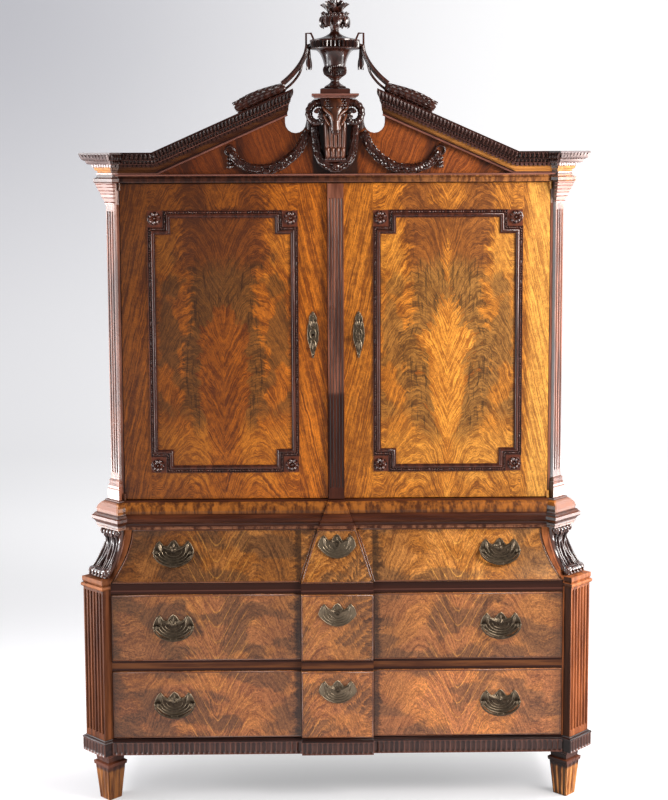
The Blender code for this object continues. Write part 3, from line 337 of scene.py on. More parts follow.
def door_patches(plume_pair, band_pair):
    """A plume with a rounded head, veined bands beside it, a brown cap over it and gold round them."""
    def paint(n, across, z, drift, ragged):
        wavy = across + drift + ragged * 0.8
        level = z + drift + ragged
        half = n.step(level, 1.19, 1.38) * 0.072
        for low, high, more in ((1.57, 1.615, 0.022), (1.655, 1.69, -0.046), (1.72, 1.76, -0.07)):
            half = half + n.step(level, low, high) * more
        plume = n.fall(wavy - half, -0.004, 0.01)
        reach = wavy + abs(level - 1.58) * 0.05
        band = n.fall(reach, 0.128, 0.158) * n.inside(level, 1.31, 1.9, 0.035)
        cap = n.step(level, 1.82, 1.9) * n.fall(wavy, 0.125, 0.16)
        crest = n.step(level, 2.055, 2.075) * n.fall(wavy, 0.045, 0.06)
        cloud = n.streaks(across * 13.0, z * 9.0, 0.0)
        dusk = n.step(cloud, 0.46, 0.56) * n.step(wavy, 0.11, 0.14) * n.inside(level, 1.36, 1.9, 0.04)
        low_gold = n.inside(level, 1.13, 1.32, 0.03) * n.step(wavy, 0.03, 0.06)
        arcs = n.inside(level, 1.85, 2.02, 0.03) * n.step(wavy, 0.15, 0.175)
        veins = n.streaks((across + drift * 0.4) * 130.0, z * 9.0, n.math("SIGN", n.x), 2.0, 0.6)
        veins = n.step(veins, 0.565, 0.615) * band * (1.0 - plume)
        return ((dusk * 0.9, band_pair), (band, band_pair), (cap, BROWN), (crest * 0.8, GOLD),
                (low_gold * 0.35, PALE), (arcs * 0.35, PALE), (plume, plume_pair), (veins * 0.65, VEIN_AND_SHADOW),
                (n.step(n.x, 0.655, 0.675) * 4.0, PALE))
    return paint


def drawer_patches(n, across, z, drift, ragged, ground=RUDDY):
    """Clouds of gold and brown, thin pale lines along the field's own V, painted shade beside the break, and
    darker outer ends that are partly dirt and partly painted shade.
    """
    gold = n.streaks(n.x * 6.5, z * 8.0, 2.0)
    gold = gold + ragged * 0.5
    dark = n.streaks(n.x * 5.0, z * 8.5, 7.0)
    # A little more dark cloud towards the left, as painted shade
    dark = dark - ragged * 0.65 + n.step(n.x * -1.0, 0.3, 0.75) * 0.06
    wavy = across + drift + ragged
    bowed = n.math("SQRT", across * across + 0.0004)
    rise = (z - (bowed * 1.25 + n.math("SQRT", bowed) * 0.3)) * 18.0
    line = abs(n.math("FRACT", rise + drift * 6.0 + ragged * 2.0) - 0.5)
    thin = n.step(line, 0.43, 0.49) * n.fall(across + drift * 0.8, 0.08, 0.14)
    wave = (z - n.x * 0.9) * 150.0 + (drift + ragged) * 90.0
    fiddle = n.step(n.math("SINE", wave), 0.1, 0.9) * n.fall(abs(n.x), 0.121, 0.125)
    # Painted shade beside the break, where the middle field stands forward
    beside = n.inside(abs(n.x) + ragged * 0.3, 0.118, 0.146, 0.008)
    beside = beside * n.step(abs(n.x), 0.122, 0.126)
    # Darker outer ends: partly dirt and partly painted shade
    outer = n.step(abs(n.x) + ragged * 0.5, 0.735, 0.785)
    return ((0.8, ground), (n.step(gold, 0.47, 0.58) * 0.85, SUNNY), (n.step(wavy, 0.1, 0.24) * 0.35, DUSK),
            (n.step(dark, 0.485, 0.56) * 0.78, DUSK), (fiddle * 0.6, SUNNY), (thin * 0.7, PALE),
            ((beside + outer * 0.6) * 0.75, VEIN_AND_SHADOW))


def lower_drawer_patches(n, across, z, drift, ragged):
    return drawer_patches(n, across, z, drift, ragged, PINK)


def tympanum_patches(n, across, z, drift, ragged):
    """Upright golden patches with darker wood between them, and painted shadow round the ram's head."""
    wavy = abs(n.x) * 8.5 + (drift + ragged) * 4.0
    upright = n.streaks(wavy, z * 2.0, 3.0, 1.0)
    # Painted shadow behind the ram's head and its horns
    behind = n.fall(abs(n.x), 0.072, 0.084)
    over = n.step(z + abs(n.x) * -0.4, 2.292, 2.302) * n.fall(abs(n.x), 0.115, 0.125)
    behind = n.math("MAXIMUM", behind, over)
    return ((n.step(upright, 0.5, 0.56), SUNNY), (n.fall(upright, 0.4, 0.46) * 0.75, DARK),
            (n.step(abs(n.x), 0.42, 0.7) * 0.7, BROWN), (behind * 0.93, VEIN_AND_SHADOW))


def tinted(colour, share):
    return tuple(min(1.0, part * share) for part in colour)


def carved(name, deep, high, along, rough, coat, stripe=None, worn=(0.54, 0.64), hollow_shade=(0.4, 0.49),
           depth=0.6, shine=0.5):
    """Dark mahogany with painted shade in its hollows and on what faces inwards on the right, and ridges
    paler partly from wear and partly as a painted highlight.
    """
    n = Nodes(name)
    place = n.vector(n.x * (4 if along == "x" else 60), n.y * 60, n.z * (4 if along == "z" else 60))
    grain = n.noise(place, 1.0, 5.0, 0.6)
    cloud = n.noise(n.place, 9.0, 2.0)
    colour = n.mix(n.step(grain, 0.36, 0.68), deep, high)
    colour = n.mix(n.step(cloud, 0.45, 0.75) * 0.5, colour, tinted(deep, 1.5))
    if stripe:
        colour = stripe(n, colour, grain)
    # Paler ridges: partly wear and partly painted highlight
    colour = n.mix(n.edges(*worn) * 0.45, colour, tinted(high, 2.2))
    # Painted shade on what faces inwards on the right
    turned = n.fall(n.facing(), -0.6, -0.5) * n.step(n.x, 0.6, 0.62)
    colour = n.mix(turned * 0.85, colour, (0.006, 0.003, 0.002))
    # Painted shade in the hollows
    colour = n.mix((1.0 - n.edges(*hollow_shade)) * depth, colour, tinted(deep, 0.25))
    n.set("Base Color", colour)
    n.set("Specular IOR Level", shine)
    n.polish(rough, coat, n.step(n.y, CABINET_FRONT + 0.03, CABINET_FRONT + 0.06) * 0.25)
    n.bump(grain * 0.7 + cloud * 0.3, 0.0003)
    return n.material


def waist_stripe(n, colour, grain):
    """The cushion of the waist and its lowest fillet have cross-grained veneers of their own. The cushion's
    canted ends carry a painted highlight.
    """
    low, high = heights("waist_moulding")
    band = n.inside(n.z, blend(low, high, 0.56), blend(low, high, 0.94), 0.002)
    cross = n.streaks(n.x * 55.0, n.y * 55.0, n.z * 9.0, 5.0, 0.65)
    paler = n.mix(n.step(cross, 0.36, 0.64), (0.075, 0.021, 0.006), (0.34, 0.108, 0.016))
    foot = n.inside(n.z, low - 0.01, blend(low, high, 0.11), 0.001)
    # Painted highlight on the cushion's canted ends
    ends = n.step(abs(n.x), 0.76, 0.764)
    paler = n.mix(ends * 0.85, paler, (0.3, 0.15, 0.11))
    colour = n.mix(band, colour, paler)
    return n.mix(foot * 0.8, colour, n.mix(n.step(cross, 0.4, 0.6), (0.06, 0.018, 0.01), (0.34, 0.14, 0.07)))


def cornice_stripe(n, colour, grain):
    """The fascia under the carved rows is veneered; painted shade makes it darker on the left than on the
    right, and its left canted end carries a painted highlight.
    """
    rake = n.math("MAXIMUM", RAKE_START - abs(n.x), 0.0) * RAKE_RISE
    under = n.z - rake - CORNICE_TOP
    fascia = n.inside(under, -0.07, -0.0485, 0.001)
    # Painted light and shade: dark on the left and middle, lighter towards the right, with a painted
    # highlight on the left canted end
    right = n.math("MAXIMUM", n.step(n.x, 0.05, 0.6), n.fall(n.x, -0.763, -0.758))
    veneer = n.mix(right, (0.034, 0.009, 0.004), (0.52, 0.21, 0.05))
    veneer = n.mix(n.step(grain, 0.4, 0.62) * 0.5, veneer, tinted(GOLD[0], 0.6))
    return n.mix(fascia, colour, veneer)


def top_stripe(n, colour, grain):
    """The band over the doors is veneered; painted shade makes it dark red on the left, and it is gold on the
    right.
    """
    low, high = heights("cabinet_top")
    band = n.inside(n.z, low - 0.01, blend(low, high, 0.86), 0.001)
    cross = n.streaks(n.x * 70.0, n.y * 70.0, n.z * 20.0, 4.0, 0.65)
    # Painted shade makes the band dark red on the left; it is gold on the right
    left = n.mix(n.step(cross, 0.4, 0.6), (0.022, 0.006, 0.003), (0.07, 0.02, 0.009))
    right = n.mix(n.step(cross, 0.4, 0.6), (0.13, 0.04, 0.012), (0.42, 0.155, 0.04))
    return n.mix(band, colour, n.mix(n.step(n.x, -0.15, 0.65), left, right))


def row_stripe(n, colour, grain):
    """Painted highlights on the carving: paler ridges, more so towards the right, and very pale ridges round
    the ends of the cornice.
    """
    # Painted highlight on the ridges, stronger towards the right
    front = n.edges(0.55, 0.63) * (n.step(n.x, -0.3, 0.4) * 0.5 + 0.1)
    colour = n.mix(front, colour, (0.26, 0.12, 0.105))
    # Painted highlight on the ridges round the ends of the cornice
    share = n.step(abs(n.x), 0.752, 0.758) * n.edges(0.5, 0.6)
    return n.mix(share * 0.95, colour, (0.76, 0.62, 0.6))


def strand_stripe(n, colour, grain):
    """The strands of the consoles carry a painted highlight on their ridges."""
    return n.mix(n.edges(0.54, 0.62) * 0.35, colour, (0.34, 0.18, 0.14))


def upright_stripe(n, colour, grain):
    """A painted highlight makes the fluted front edges of the cabinet paler than the sides behind them, and
    the capital blocks paler still.
    """
    # Painted highlight on the front edges; the middle pilaster gets none below its fluting and less above it
    front = n.fall(n.y, CABINET_FRONT + 0.031, CABINET_FRONT + 0.035)
    middle = n.fall(abs(n.x), 0.05, 0.06)
    share = front - middle * (1.0 - n.step(n.z, 1.42, 1.436) * 0.75)
    paler = n.mix(n.step(grain, 0.35, 0.65), (0.075, 0.022, 0.012), (0.3, 0.11, 0.064))
    capital_low = heights("cabinet_top")[0] - 0.075
    # Painted highlight on the block of each capital
    block = n.step(n.z, capital_low, capital_low + 0.003) * n.step(abs(n.x), 0.6, 0.61)
    paler = n.mix(block * 0.7, paler, (0.56, 0.42, 0.38))
    return n.mix(share, colour, paler)


def foot_stripe(n, colour, grain):
    """A foot is golden below its dark collar, with painted light and shade that makes the left feet darker
    than the right ones.
    """
    gold = n.mix(n.step(grain, 0.38, 0.62), (0.15, 0.046, 0.012), (0.52, 0.215, 0.058))
    # Painted light and shade: darker on the left, lighter on the right
    gold = n.mix(1.0, gold, n.mix(n.step(n.x, -0.5, 0.5), (0.58, 0.52, 0.48), (1.3, 1.25, 1.25)), "MULTIPLY")
    return n.mix(n.fall(n.z, 0.1, 0.112), colour, gold)


def post_stripe(n, colour, grain):
    """Painted light and shade make the right-hand post paler than the left one."""
    painted_light_tint = n.mix(n.step(n.x, -0.5, 0.5), (0.62, 0.52, 0.46), (1.55, 1.35, 1.2))
    return n.mix(1.0, colour, painted_light_tint, "MULTIPLY")


def rail_stripe(n, colour, grain):
    """The lower rail has a paler band, the upper one a thin pale line. Both carry a black painted shadow
    under the drawers.
    """
    spans = DRAWER_SPANS
    low, high = spans["lower"][1], spans["middle"][0]
    band = n.inside(n.z, blend(low, high, 0.28), blend(low, high, 0.78), 0.001)
    paler = n.mix(n.step(grain, 0.35, 0.65), (0.075, 0.023, 0.008), (0.25, 0.088, 0.026))
    colour = n.mix(band, colour, paler)
    # Painted shadow under the drawers
    shade = n.inside(n.z, low - 0.01, blend(low, high, 0.2), 0.001)
    low, high = spans["middle"][1], spans["upper"][0]
    line = n.inside(n.z, blend(low, high, 0.29), blend(low, high, 0.37), 0.0008)
    colour = n.mix(line * 0.7, colour, (0.23, 0.088, 0.062))
    shade = shade + n.inside(n.z, blend(low, high, 0.68), blend(low, high, 0.86), 0.001)
    return n.mix(shade * 0.85, colour, (0.006, 0.002, 0.002))


def plain_wood(name):
    """Unpolished oak and pine inside the case."""
    n = Nodes(name)
    sideways = n.step(abs(n.facing()), 0.5, 0.6)
    along = n.x + sideways * (n.y - n.x)
    cross = n.y + sideways * (n.x - n.y)
    place = n.vector(along * 3.0, cross * 40.0, n.z * 40.0)
    grain = n.noise(place, 1.0, 6.0, 0.6)
    pore = n.streaks(along * 40.0, cross * 600.0, n.z * 600.0)
    colour = n.mix(n.step(grain, 0.35, 0.65), (0.25, 0.135, 0.06), (0.46, 0.29, 0.15))
    colour = n.mix(n.step(pore, 0.55, 0.7) * 0.5, colour, (0.14, 0.07, 0.03))
    n.set("Base Color", colour)
    n.set("Roughness", grain * 0.2 + 0.5)
    n.bump(grain * 0.6 + pore, 0.0004)
    return n.material


def bronze(name):
    """Dark olive bronze, paler on its edges partly from wear and partly as a painted highlight."""
    n = Nodes(name)
    cloud = n.noise(n.place, 90.0, 4.0, 0.6)
    pit = n.noise(n.place, 700.0, 2.0, 0.5)
    colour = n.mix(n.step(cloud, 0.35, 0.65), (0.038, 0.026, 0.017), (0.096, 0.066, 0.042))
    # Paler edges: partly wear and partly painted highlight
    colour = n.mix(n.edges(0.53, 0.64) * 0.65, colour, (0.54, 0.42, 0.28))
    colour = n.mix((1.0 - n.edges(0.38, 0.49)) * 0.8, colour, (0.012, 0.01, 0.008))
    n.set("Base Color", colour)
    n.set("Metallic", 0.85)
    n.set("Roughness", cloud * 0.25 + 0.26)
    n.bump(pit * 0.4 + cloud, 0.0004)
    return n.material


# Dark mahogany: colours in its hollows and on its ridges, way of the grain, roughness, coat, and what differs
MAHOGANY = {
    "upright": ((0.03, 0.008, 0.005), (0.1, 0.028, 0.013), "z", 0.3, 0.35,
                {"stripe": upright_stripe, "hollow_shade": (0.42, 0.5), "depth": 0.9}),
    "pier": ((0.026, 0.006, 0.003), (0.085, 0.02, 0.008), "z", 0.3, 0.1,
             {"stripe": upright_stripe, "hollow_shade": (0.42, 0.5), "depth": 0.9, "shine": 0.35}),
    "post": ((0.085, 0.026, 0.01), (0.27, 0.095, 0.034), "z", 0.5, 0.0,
             {"stripe": post_stripe, "shine": 0.12}),
    "foot": ((0.026, 0.007, 0.005), (0.085, 0.025, 0.012), "z", 0.3, 0.1,
             {"stripe": foot_stripe, "shine": 0.25}),
    "fluting": ((0.034, 0.01, 0.006), (0.105, 0.036, 0.022), "z", 0.3, 0.3,
                {"worn": (0.5, 0.56), "hollow_shade": (0.43, 0.505), "depth": 0.9, "shine": 0.4}),
    "face": ((0.032, 0.009, 0.004), (0.115, 0.034, 0.013), "z", 0.3, 0.35, {}),
    "ledge": ((0.06, 0.022, 0.016), (0.18, 0.07, 0.05), "x", 0.28, 0.5, {}),
    "rows": ((0.007, 0.002, 0.0015), (0.024, 0.008, 0.005), "z", 0.36, 0.0,
             {"stripe": row_stripe, "worn": (0.52, 0.6), "depth": 0.85, "shine": 0.25}),
    "level": ((0.012, 0.004, 0.003), (0.036, 0.012, 0.008), "x", 0.34, 0.1, {"shine": 0.3}),
    "cornice": ((0.012, 0.003, 0.002), (0.03, 0.008, 0.005), "x", 0.36, 0.05,
                {"stripe": cornice_stripe, "shine": 0.2}),
    "top": ((0.016, 0.005, 0.004), (0.052, 0.016, 0.009), "x", 0.36, 0.1,
            {"stripe": top_stripe, "shine": 0.35}),
    "strand": ((0.012, 0.004, 0.003), (0.05, 0.018, 0.012), "z", 0.16, 1.0,
               {"stripe": strand_stripe, "worn": (0.54, 0.62), "hollow_shade": (0.46, 0.52), "depth": 0.95}),
    "waist": ((0.036, 0.008, 0.003), (0.1, 0.026, 0.009), "x", 0.32, 0.1,
              {"stripe": waist_stripe, "shine": 0.3}),
    "rail": ((0.009, 0.0025, 0.0012), (0.03, 0.008, 0.004), "x", 0.42, 0.0,
             {"stripe": rail_stripe, "shine": 0.25}),
    "side": ((0.045, 0.012, 0.005), (0.12, 0.036, 0.014), "z", 0.4, 0.1, {"shine": 0.3}),
    "carving": ((0.013, 0.0035, 0.002), (0.05, 0.013, 0.007), "z", 0.23, 0.65, {"shine": 0.4}),
    "frame": ((0.028, 0.007, 0.004), (0.096, 0.025, 0.012), "z", 0.27, 0.4, {"shine": 0.4}),
    "bead": ((0.06, 0.019, 0.009), (0.17, 0.058, 0.026), "x", 0.28, 0.5, {}),
}

# Distance from the spine of a door's figure to its straight-grained border
STILE_AT = 0.258
# Side, colours of painted light and shade at two places from left to right, and what paints the figure
DOOR_LOOKS = {
    "left": (-1, ((-0.74, (0.37, 0.25, 0.14)), (-0.02, (1.12, 0.78, 0.3))), door_patches(RUDDY, OLIVE)),
    "right": (1, ((0.02, (1.08, 0.86, 0.42)), (0.74, (1.08, 1.05, 0.9))), door_patches(HONEY, BAND)),
}

# Colours of painted light and shade on each drawer's veneer towards the left and the right, and what paints
# the figure
DRAWER_LOOKS = {
    "lower": ((0.7, 0.56, 0.5), (1.3, 1.1, 1.02), lower_drawer_patches),
    "middle": ((0.74, 0.64, 0.58), (0.98, 0.86, 0.8), lower_drawer_patches),
    "upper": ((0.47, 0.39, 0.33), (1.18, 1.12, 0.9), drawer_patches),
}


def make_materials():
    made = {"plain": plain_wood("plain_wood"), "bronze": bronze("old_bronze")}
    for name, (deep, high, along, rough, coat, more) in MAHOGANY.items():
        made[name] = carved("mahogany_" + name, deep, high, along, rough, coat, **more)
    for name, (sign, shade, paint) in DOOR_LOOKS.items():
        made["door_" + name] = flame("flame_door_" + name, sign * DOOR_SPINE, 0.115, 1.5, shade, paint,
                                     stile=STILE_AT, seed=sign * 2.0)
    for i, (name, (first, second, paint)) in enumerate(DRAWER_LOOKS.items()):
        shade = ((-0.78, first), (0.6, second))
        made["drawer_" + name] = flame("flame_drawer_" + name, FIELD_SPINE, 0.13, 1.7, shade, paint,
                                       weights=(0.34, 0.24, 0.32), spread=(0.39, 0.61), grit=150.0,
                                       arc=CENTRE_SPINE, seed=11.0 + 5 * i, fold=True)
    # Painted light and shade across the tympanum, darker on the left
    shade = ((-0.7, (0.37, 0.155, 0.035)), (0.7, (0.52, 0.31, 0.2)))
    made["tympanum"] = flame("flame_tympanum", 0.0, 0.8, 2.0, shade, tympanum_patches,
                             weights=(0.42, 0.34, 0.14), spread=(0.41, 0.59), seed=31.0)
    return made


MATERIALS = make_materials()

# A finish and how the names of its nodes start. The first that fits is taken
NODE_FINISH = (
    ("door_left", "door_left"),
    ("door_right", "door_right"),
    ("drawer_lower", "drawer_front_lower"),
    ("drawer_middle", "drawer_front_middle"),
    ("drawer_upper", "drawer_front_upper"),
    ("tympanum", "tympanum"),
    ("plain", ("drawer_box", "shelf", "cabinet_back", "cabinet_floor", "chest_back")),
    ("bronze", ("handle", "key", "door_escutcheon", "drawer_escutcheon")),
    ("rail", "rail"),
    ("level", "plinth"),
    ("waist", "waist"),
    ("post", "corner_post"),
    ("cornice", "cornice"),
    ("top", "cabinet_top"),
    ("side", "chest_side"),
    ("pier", "centre_pilaster"),
    ("foot", "foot"),
    ("upright", ""),
)
EDGE_ROUND = 0.0008


def wear_edges(thing, width, sharp):
    """Rounds the edges that turn by more than sharp degrees."""
    edge = thing.modifiers.new("worn_edges", "BEVEL")
    edge.width = width
    edge.segments = 2
    edge.limit_method = "ANGLE"
    edge.angle_limit = math.radians(sharp)
    return edge


def dress_nodes():
    """Gives each node of the part its finish, and its sharp edges a worn round."""
    for name, node in NODES.items():
        finish = next(kind for kind, starts in NODE_FINISH if name.startswith(starts))
        node.data.materials.clear()
        node.data.materials.append(MATERIALS[finish])
        wear_edges(node, EDGE_ROUND, 35).use_clamp_overlap = True


# Room
FLOOR_HALF = 14.0
WALL_Y = 8.0
WALL_TOP = 9.0
COVE = 2.0
COVE_STEPS = 12


def make_stage():
    """A pale floor that curves up into a backdrop."""
    profile = [(-FLOOR_HALF, 0.0), (WALL_Y - COVE, 0.0)]
    for i in range(1, COVE_STEPS + 1):
        turn = math.pi / 2 * i / COVE_STEPS
        profile.append((WALL_Y - COVE + COVE * math.sin(turn), COVE - COVE * math.cos(turn)))
    profile.append((WALL_Y, WALL_TOP))
    mesh = bpy.data.meshes.new("studio")
    points = [(x, y, z) for y, z in profile for x in (-FLOOR_HALF, FLOOR_HALF)]
    faces = [(2 * i, 2 * i + 1, 2 * i + 3, 2 * i + 2) for i in range(len(profile) - 1)]
    mesh.from_pydata(points, [], faces)
    mesh.shade_smooth()
    studio = bpy.data.objects.new("studio", mesh)
    bpy.context.scene.collection.objects.link(studio)
    mesh.materials.append(studio_paper())


def studio_paper():
    """Pale paper that glows for the camera and in some reflections, and keeps the shadows under its glow.
    Painted shade makes the glow darker and bluer towards the upper left, and a stronger glow behind the
    cabinet is painted light over the shadow there.
    """
    n = Nodes("studio_paper")
    path = n.new("LightPath").outputs
    mirrored = n.step(abs(n.x), 1.5, 2.2) + 0.3
    seen = n.math("MAXIMUM", path["Is Camera Ray"], mirrored * path["Is Glossy Ray"])
    rising = n.step(n.y, 0.6, 2.2) * 0.34 + n.step(n.y, 2.2, WALL_Y) * 0.16
    rising = rising + n.step(n.z, 0.0, 3.6) * 0.45
    # Painted shade: the glow is darker and bluer towards the upper left
    backdrop_shade = n.fall(n.x, -3.1, 2.9) * rising
    cloud = n.noise(n.place, 0.5, 1.0)
    share = n.math("MINIMUM", backdrop_shade + (cloud - 0.5) * 0.06, 1.0)
    # Stronger glow behind the cabinet, painted light over the shadow there
    paper_glow = n.step(n.y, -0.14, 0.25) * 0.3 + 0.37
    n.set("Base Color", (0.5, 0.49, 0.505, 1.0))
    n.set("Roughness", 0.9)
    n.set("Specular IOR Level", 0.0)
    n.set("Emission Color", n.mix(share, (1.0, 1.0, 1.0), (0.385, 0.39, 0.425)))
    n.set("Emission Strength", seen * (paper_glow + n.step(n.y, 1.5, 4.0) * 0.24))
    return n.material


def lamp(name, at, towards, size, power, colour=(1.0, 1.0, 1.0)):
    data = bpy.data.lights.new(name, "AREA")
    data.shape = "RECTANGLE"
    data.size, data.size_y = size
    data.energy = power
    data.color = colour
    made = bpy.data.objects.new(name, data)
    made.visible_camera = False
    made.location = at
    made.rotation_mode = "QUATERNION"
    made.rotation_quaternion = (Vector(towards) - Vector(at)).to_track_quat("-Z", "Y")
    bpy.context.scene.collection.objects.link(made)


def make_lights():
    lamp("key", (2.15, -1.65, 2.55), (0.1, -0.2, 1.45), (0.9, 1.6), 105.0, (1.0, 0.97, 0.93))
    lamp("fill", (-3.7, -2.9, 1.1), (0.0, -0.2, 0.8), (1.6, 1.8), 62.0, (0.97, 0.98, 1.0))
    lamp("left_strip", (-2.5, -0.35, 1.5), (-0.8, -0.25, 1.4), (1.3, 3.0), 62.0, (0.97, 0.98, 1.0))
    lamp("right_strip", (2.7, -0.35, 1.5), (0.8, -0.25, 1.4), (1.2, 3.0), 50.0)
    for name, side in SIDES:
        lamp(name + "_high", (side * 2.5, -0.1, 2.3), (side * 0.8, -0.2, 2.2), (0.9, 0.5), 26.0)
        lamp(name + "_low", (side * 2.5, -0.1, 0.62), (side * 0.8, -0.2, 0.9), (0.9, 0.45), 20.0)
    lamp("top", (0.0, 0.4, 4.4), (0.0, 0.2, 2.0), (2.6, 1.6), 30.0)
    world = bpy.data.worlds.new("room")
    world.use_nodes = True
    world.node_tree.nodes["Background"].inputs["Color"].default_value = (0.92, 0.94, 1.0, 1.0)
    path = world.node_tree.nodes.new("ShaderNodeLightPath")
    level = world.node_tree.nodes.new("ShaderNodeMapRange")
    level.inputs["To Min"].default_value = 0.16
    level.inputs["To Max"].default_value = 0.9
    world.node_tree.links.new(path.outputs["Is Camera Ray"], level.inputs["Value"])
    world.node_tree.links.new(level.outputs["Result"], world.node_tree.nodes["Background"].inputs["Strength"])
    bpy.context.scene.world = world


# Carving
OUT = Vector((0.0, -1.0, 0.0))
UP = Vector((0.0, 0.0, 1.0))


def curve(stops, share):
    """A value read off evenly spaced stops, with smooth joins."""
    place = min(max(share, 0.0), 1.0) * (len(stops) - 1)
    i = min(int(place), len(stops) - 2)
    t = place - i
    before, first, second, after = (Vector(stops[min(max(i + k, 0), len(stops) - 1)]) for k in (-1, 0, 1, 2))
    bend = ((before * 2 - first * 5 + second * 4 - after) * t
            + (first * 3 - before - second * 3 + after) * (t * t))
    return first + (second - before + bend) * (t / 2)


def around(count, shift=0.0):
    """Cosine and sine of evenly spaced turns of a circle."""
    turns = [2 * math.pi * (k + shift) / count for k in range(count)]
    return [(math.cos(turn), math.sin(turn)) for turn in turns]


class Carving:
    """Points and faces gathered into one carved piece."""

    def __init__(self):
        self.points = []
        self.faces = []

    def skin(self, rows, wrap=False, caps=False):
        """Faces over rows of equal length. wrap joins the ends of each row, caps closes both ends."""
        start = len(self.points)
        width = len(rows[0])
        for row in rows:
            self.points.extend(Vector(point) for point in row)
        for i in range(len(rows) - 1):
            low = start + i * width
            for j in range(width if wrap else width - 1):
                k = (j + 1) % width
                self.faces.append((low + j, low + k, low + width + k, low + width + j))
        if caps:
            last = len(self.points) - width
            self.faces.append(tuple(reversed(range(start, start + width))))
            self.faces.append(tuple(range(last, last + width)))

    def tube(self, path, radii, out=OUT, sides=8, flat=1.0, closed=False):
        """A bar along a path; flat is its height along out as a share of its width."""
        path = [Vector(point) for point in path]
        count = len(path)
        if isinstance(radii, (int, float)):
            radii = [radii] * count
        rows = []
        for i in range(count):
            before = path[i - 1] if closed or i else path[i]
            after = path[(i + 1) % count] if closed or i < count - 1 else path[i]
            ahead = (after - before).normalized()
            side = ahead.cross(out).normalized()
            lift = side.cross(ahead)
            wide, high = radii[i] if isinstance(radii[i], tuple) else (radii[i], radii[i] * flat)
            rows.append([path[i] + side * (wide * a) + lift * (high * b) for a, b in around(sides, 0.5)])
        if closed:
            rows.append(rows[0])
        self.skin(rows, wrap=True, caps=not closed)

    def bead(self, at, radius, out=OUT, flat=0.8, stretch=1.0, along=None, sides=8):
        """A round boss, or an oval one that is stretched along a direction."""
        out = Vector(out).normalized()
        along = Vector(along) if along is not None else (UP if abs(out.z) < 0.9 else Vector((1, 0, 0)))
        along = (along - out * along.dot(out)).normalized()
        side = out.cross(along)
        rows = []
        for angle in (-30, 5, 40, 68, 86):
            ring = radius * math.cos(math.radians(angle))
            rise = radius * flat * math.sin(math.radians(angle))
            rows.append([at + along * (ring * stretch * a) + side * (ring * b) + out * rise
                         for a, b in around(sides)])
        self.skin(rows, wrap=True, caps=True)

    def leaf(self, root, tip, out=OUT, width=0.01, lift=0.15, ridge=0.16, steps=6):
        """A pointed leaf with a rib; lift is how far its middle stands above a straight line."""
        root = Vector(root)
        tip = Vector(tip)
        run = tip - root
        length = run.length
        side = run.cross(out).normalized()
        face = side.cross(run).normalized()
        rows = []
        for i in range(steps + 1):
            t = i / steps
            half = width / 2 * max(math.sin(math.pi * min(t * 0.92 + 0.08, 1.0)) ** 0.8, 0.06)
            centre = root + run * t + face * (length * lift * math.sin(math.pi * t))
            thick = width * ridge
            rows.append([
                centre - side * half,
                centre - side * (half * 0.45) + face * (thick * 0.35),
                centre + face * thick,
                centre + side * (half * 0.45) + face * (thick * 0.35),
                centre + side * half,
                centre - face * (thick * 0.5),
            ])
        self.skin(rows, wrap=True, caps=True)

    def moulding(self, path, section, out=OUT, closed=True):
        """A mitred band along a flat path. Section: distance to the left of the path and height along out."""
        path = [Vector(point) for point in path]
        count = len(path)
        rows = []
        for i in range(count):
            before = (path[i] - path[i - 1]).normalized() if closed or i else None
            after = (path[(i + 1) % count] - path[i]).normalized() if closed or i < count - 1 else None
            sides = [out.cross(way) for way in (before, after) if way is not None]
            side = sum(sides, Vector((0, 0, 0)))
            side = side / max(side.dot(sides[0]), 1e-6)
            rows.append([path[i] + side * across + out * proud for across, proud in section])
        if closed:
            rows.append(rows[0])
        self.skin(rows, wrap=True, caps=not closed)

    def relief(self, corners, out, depth, shape, across, up, lift=0.0004):
        """A patch over four corners, lower left first. It stands lift and depth * shape(u, v) above them."""
        rows = []
        for i in range(-1, up + 2):
            v = min(max(i / up, 0.0), 1.0)
            row = []
            for j in range(-1, across + 2):
                u = min(max(j / across, 0.0), 1.0)
                low = corners[0].lerp(corners[1], u)
                high = corners[3].lerp(corners[2], u)
                rim = i < 0 or j < 0 or i > up or j > across
                row.append(low.lerp(high, v) + out * (0.0 if rim else lift + depth * shape(u, v)))
            rows.append(row)
        self.skin(rows)

    def turned(self, levels, centre, sides=32, flutes=0):
        """A lathed body. Each level is height, radius and the share by which its flutes cut in."""
        rows = []
        for z, radius, cut in levels:
            row = []
            for j in range(sides):
                turn = 2 * math.pi * j / sides
                reach = radius * (1.0 - cut * (0.5 - 0.5 * math.cos(flutes * turn)))
                row.append((centre[0] + reach * math.cos(turn), centre[1] + reach * math.sin(turn), z))
            rows.append(row)
        self.skin(rows, wrap=True, caps=True)

    def make(self, name, body, finish, replaces=(), sharp=40, round_by=0.0):
        """Rounds, dresses and places the piece. Only the mounts are bronze, all else is dark mahogany."""
        mesh = bpy.data.meshes.new(name)
        mesh.from_pydata(self.points, [], self.faces)
        shell = bmesh.new()
        shell.from_mesh(mesh)
        bmesh.ops.recalc_face_normals(shell, faces=shell.faces)
        shell.to_mesh(mesh)
        shell.free()
        mesh.shade_smooth()
        mesh.set_sharp_from_angle(angle=math.radians(sharp))
        mesh.materials.append(MATERIALS[finish])
        made = bpy.data.objects.new(name, mesh)
        bpy.context.scene.collection.objects.link(made)
        if round_by:
            wear_edges(made, round_by, sharp)
        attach(made, body)
        if replaces:
            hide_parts(*replaces)


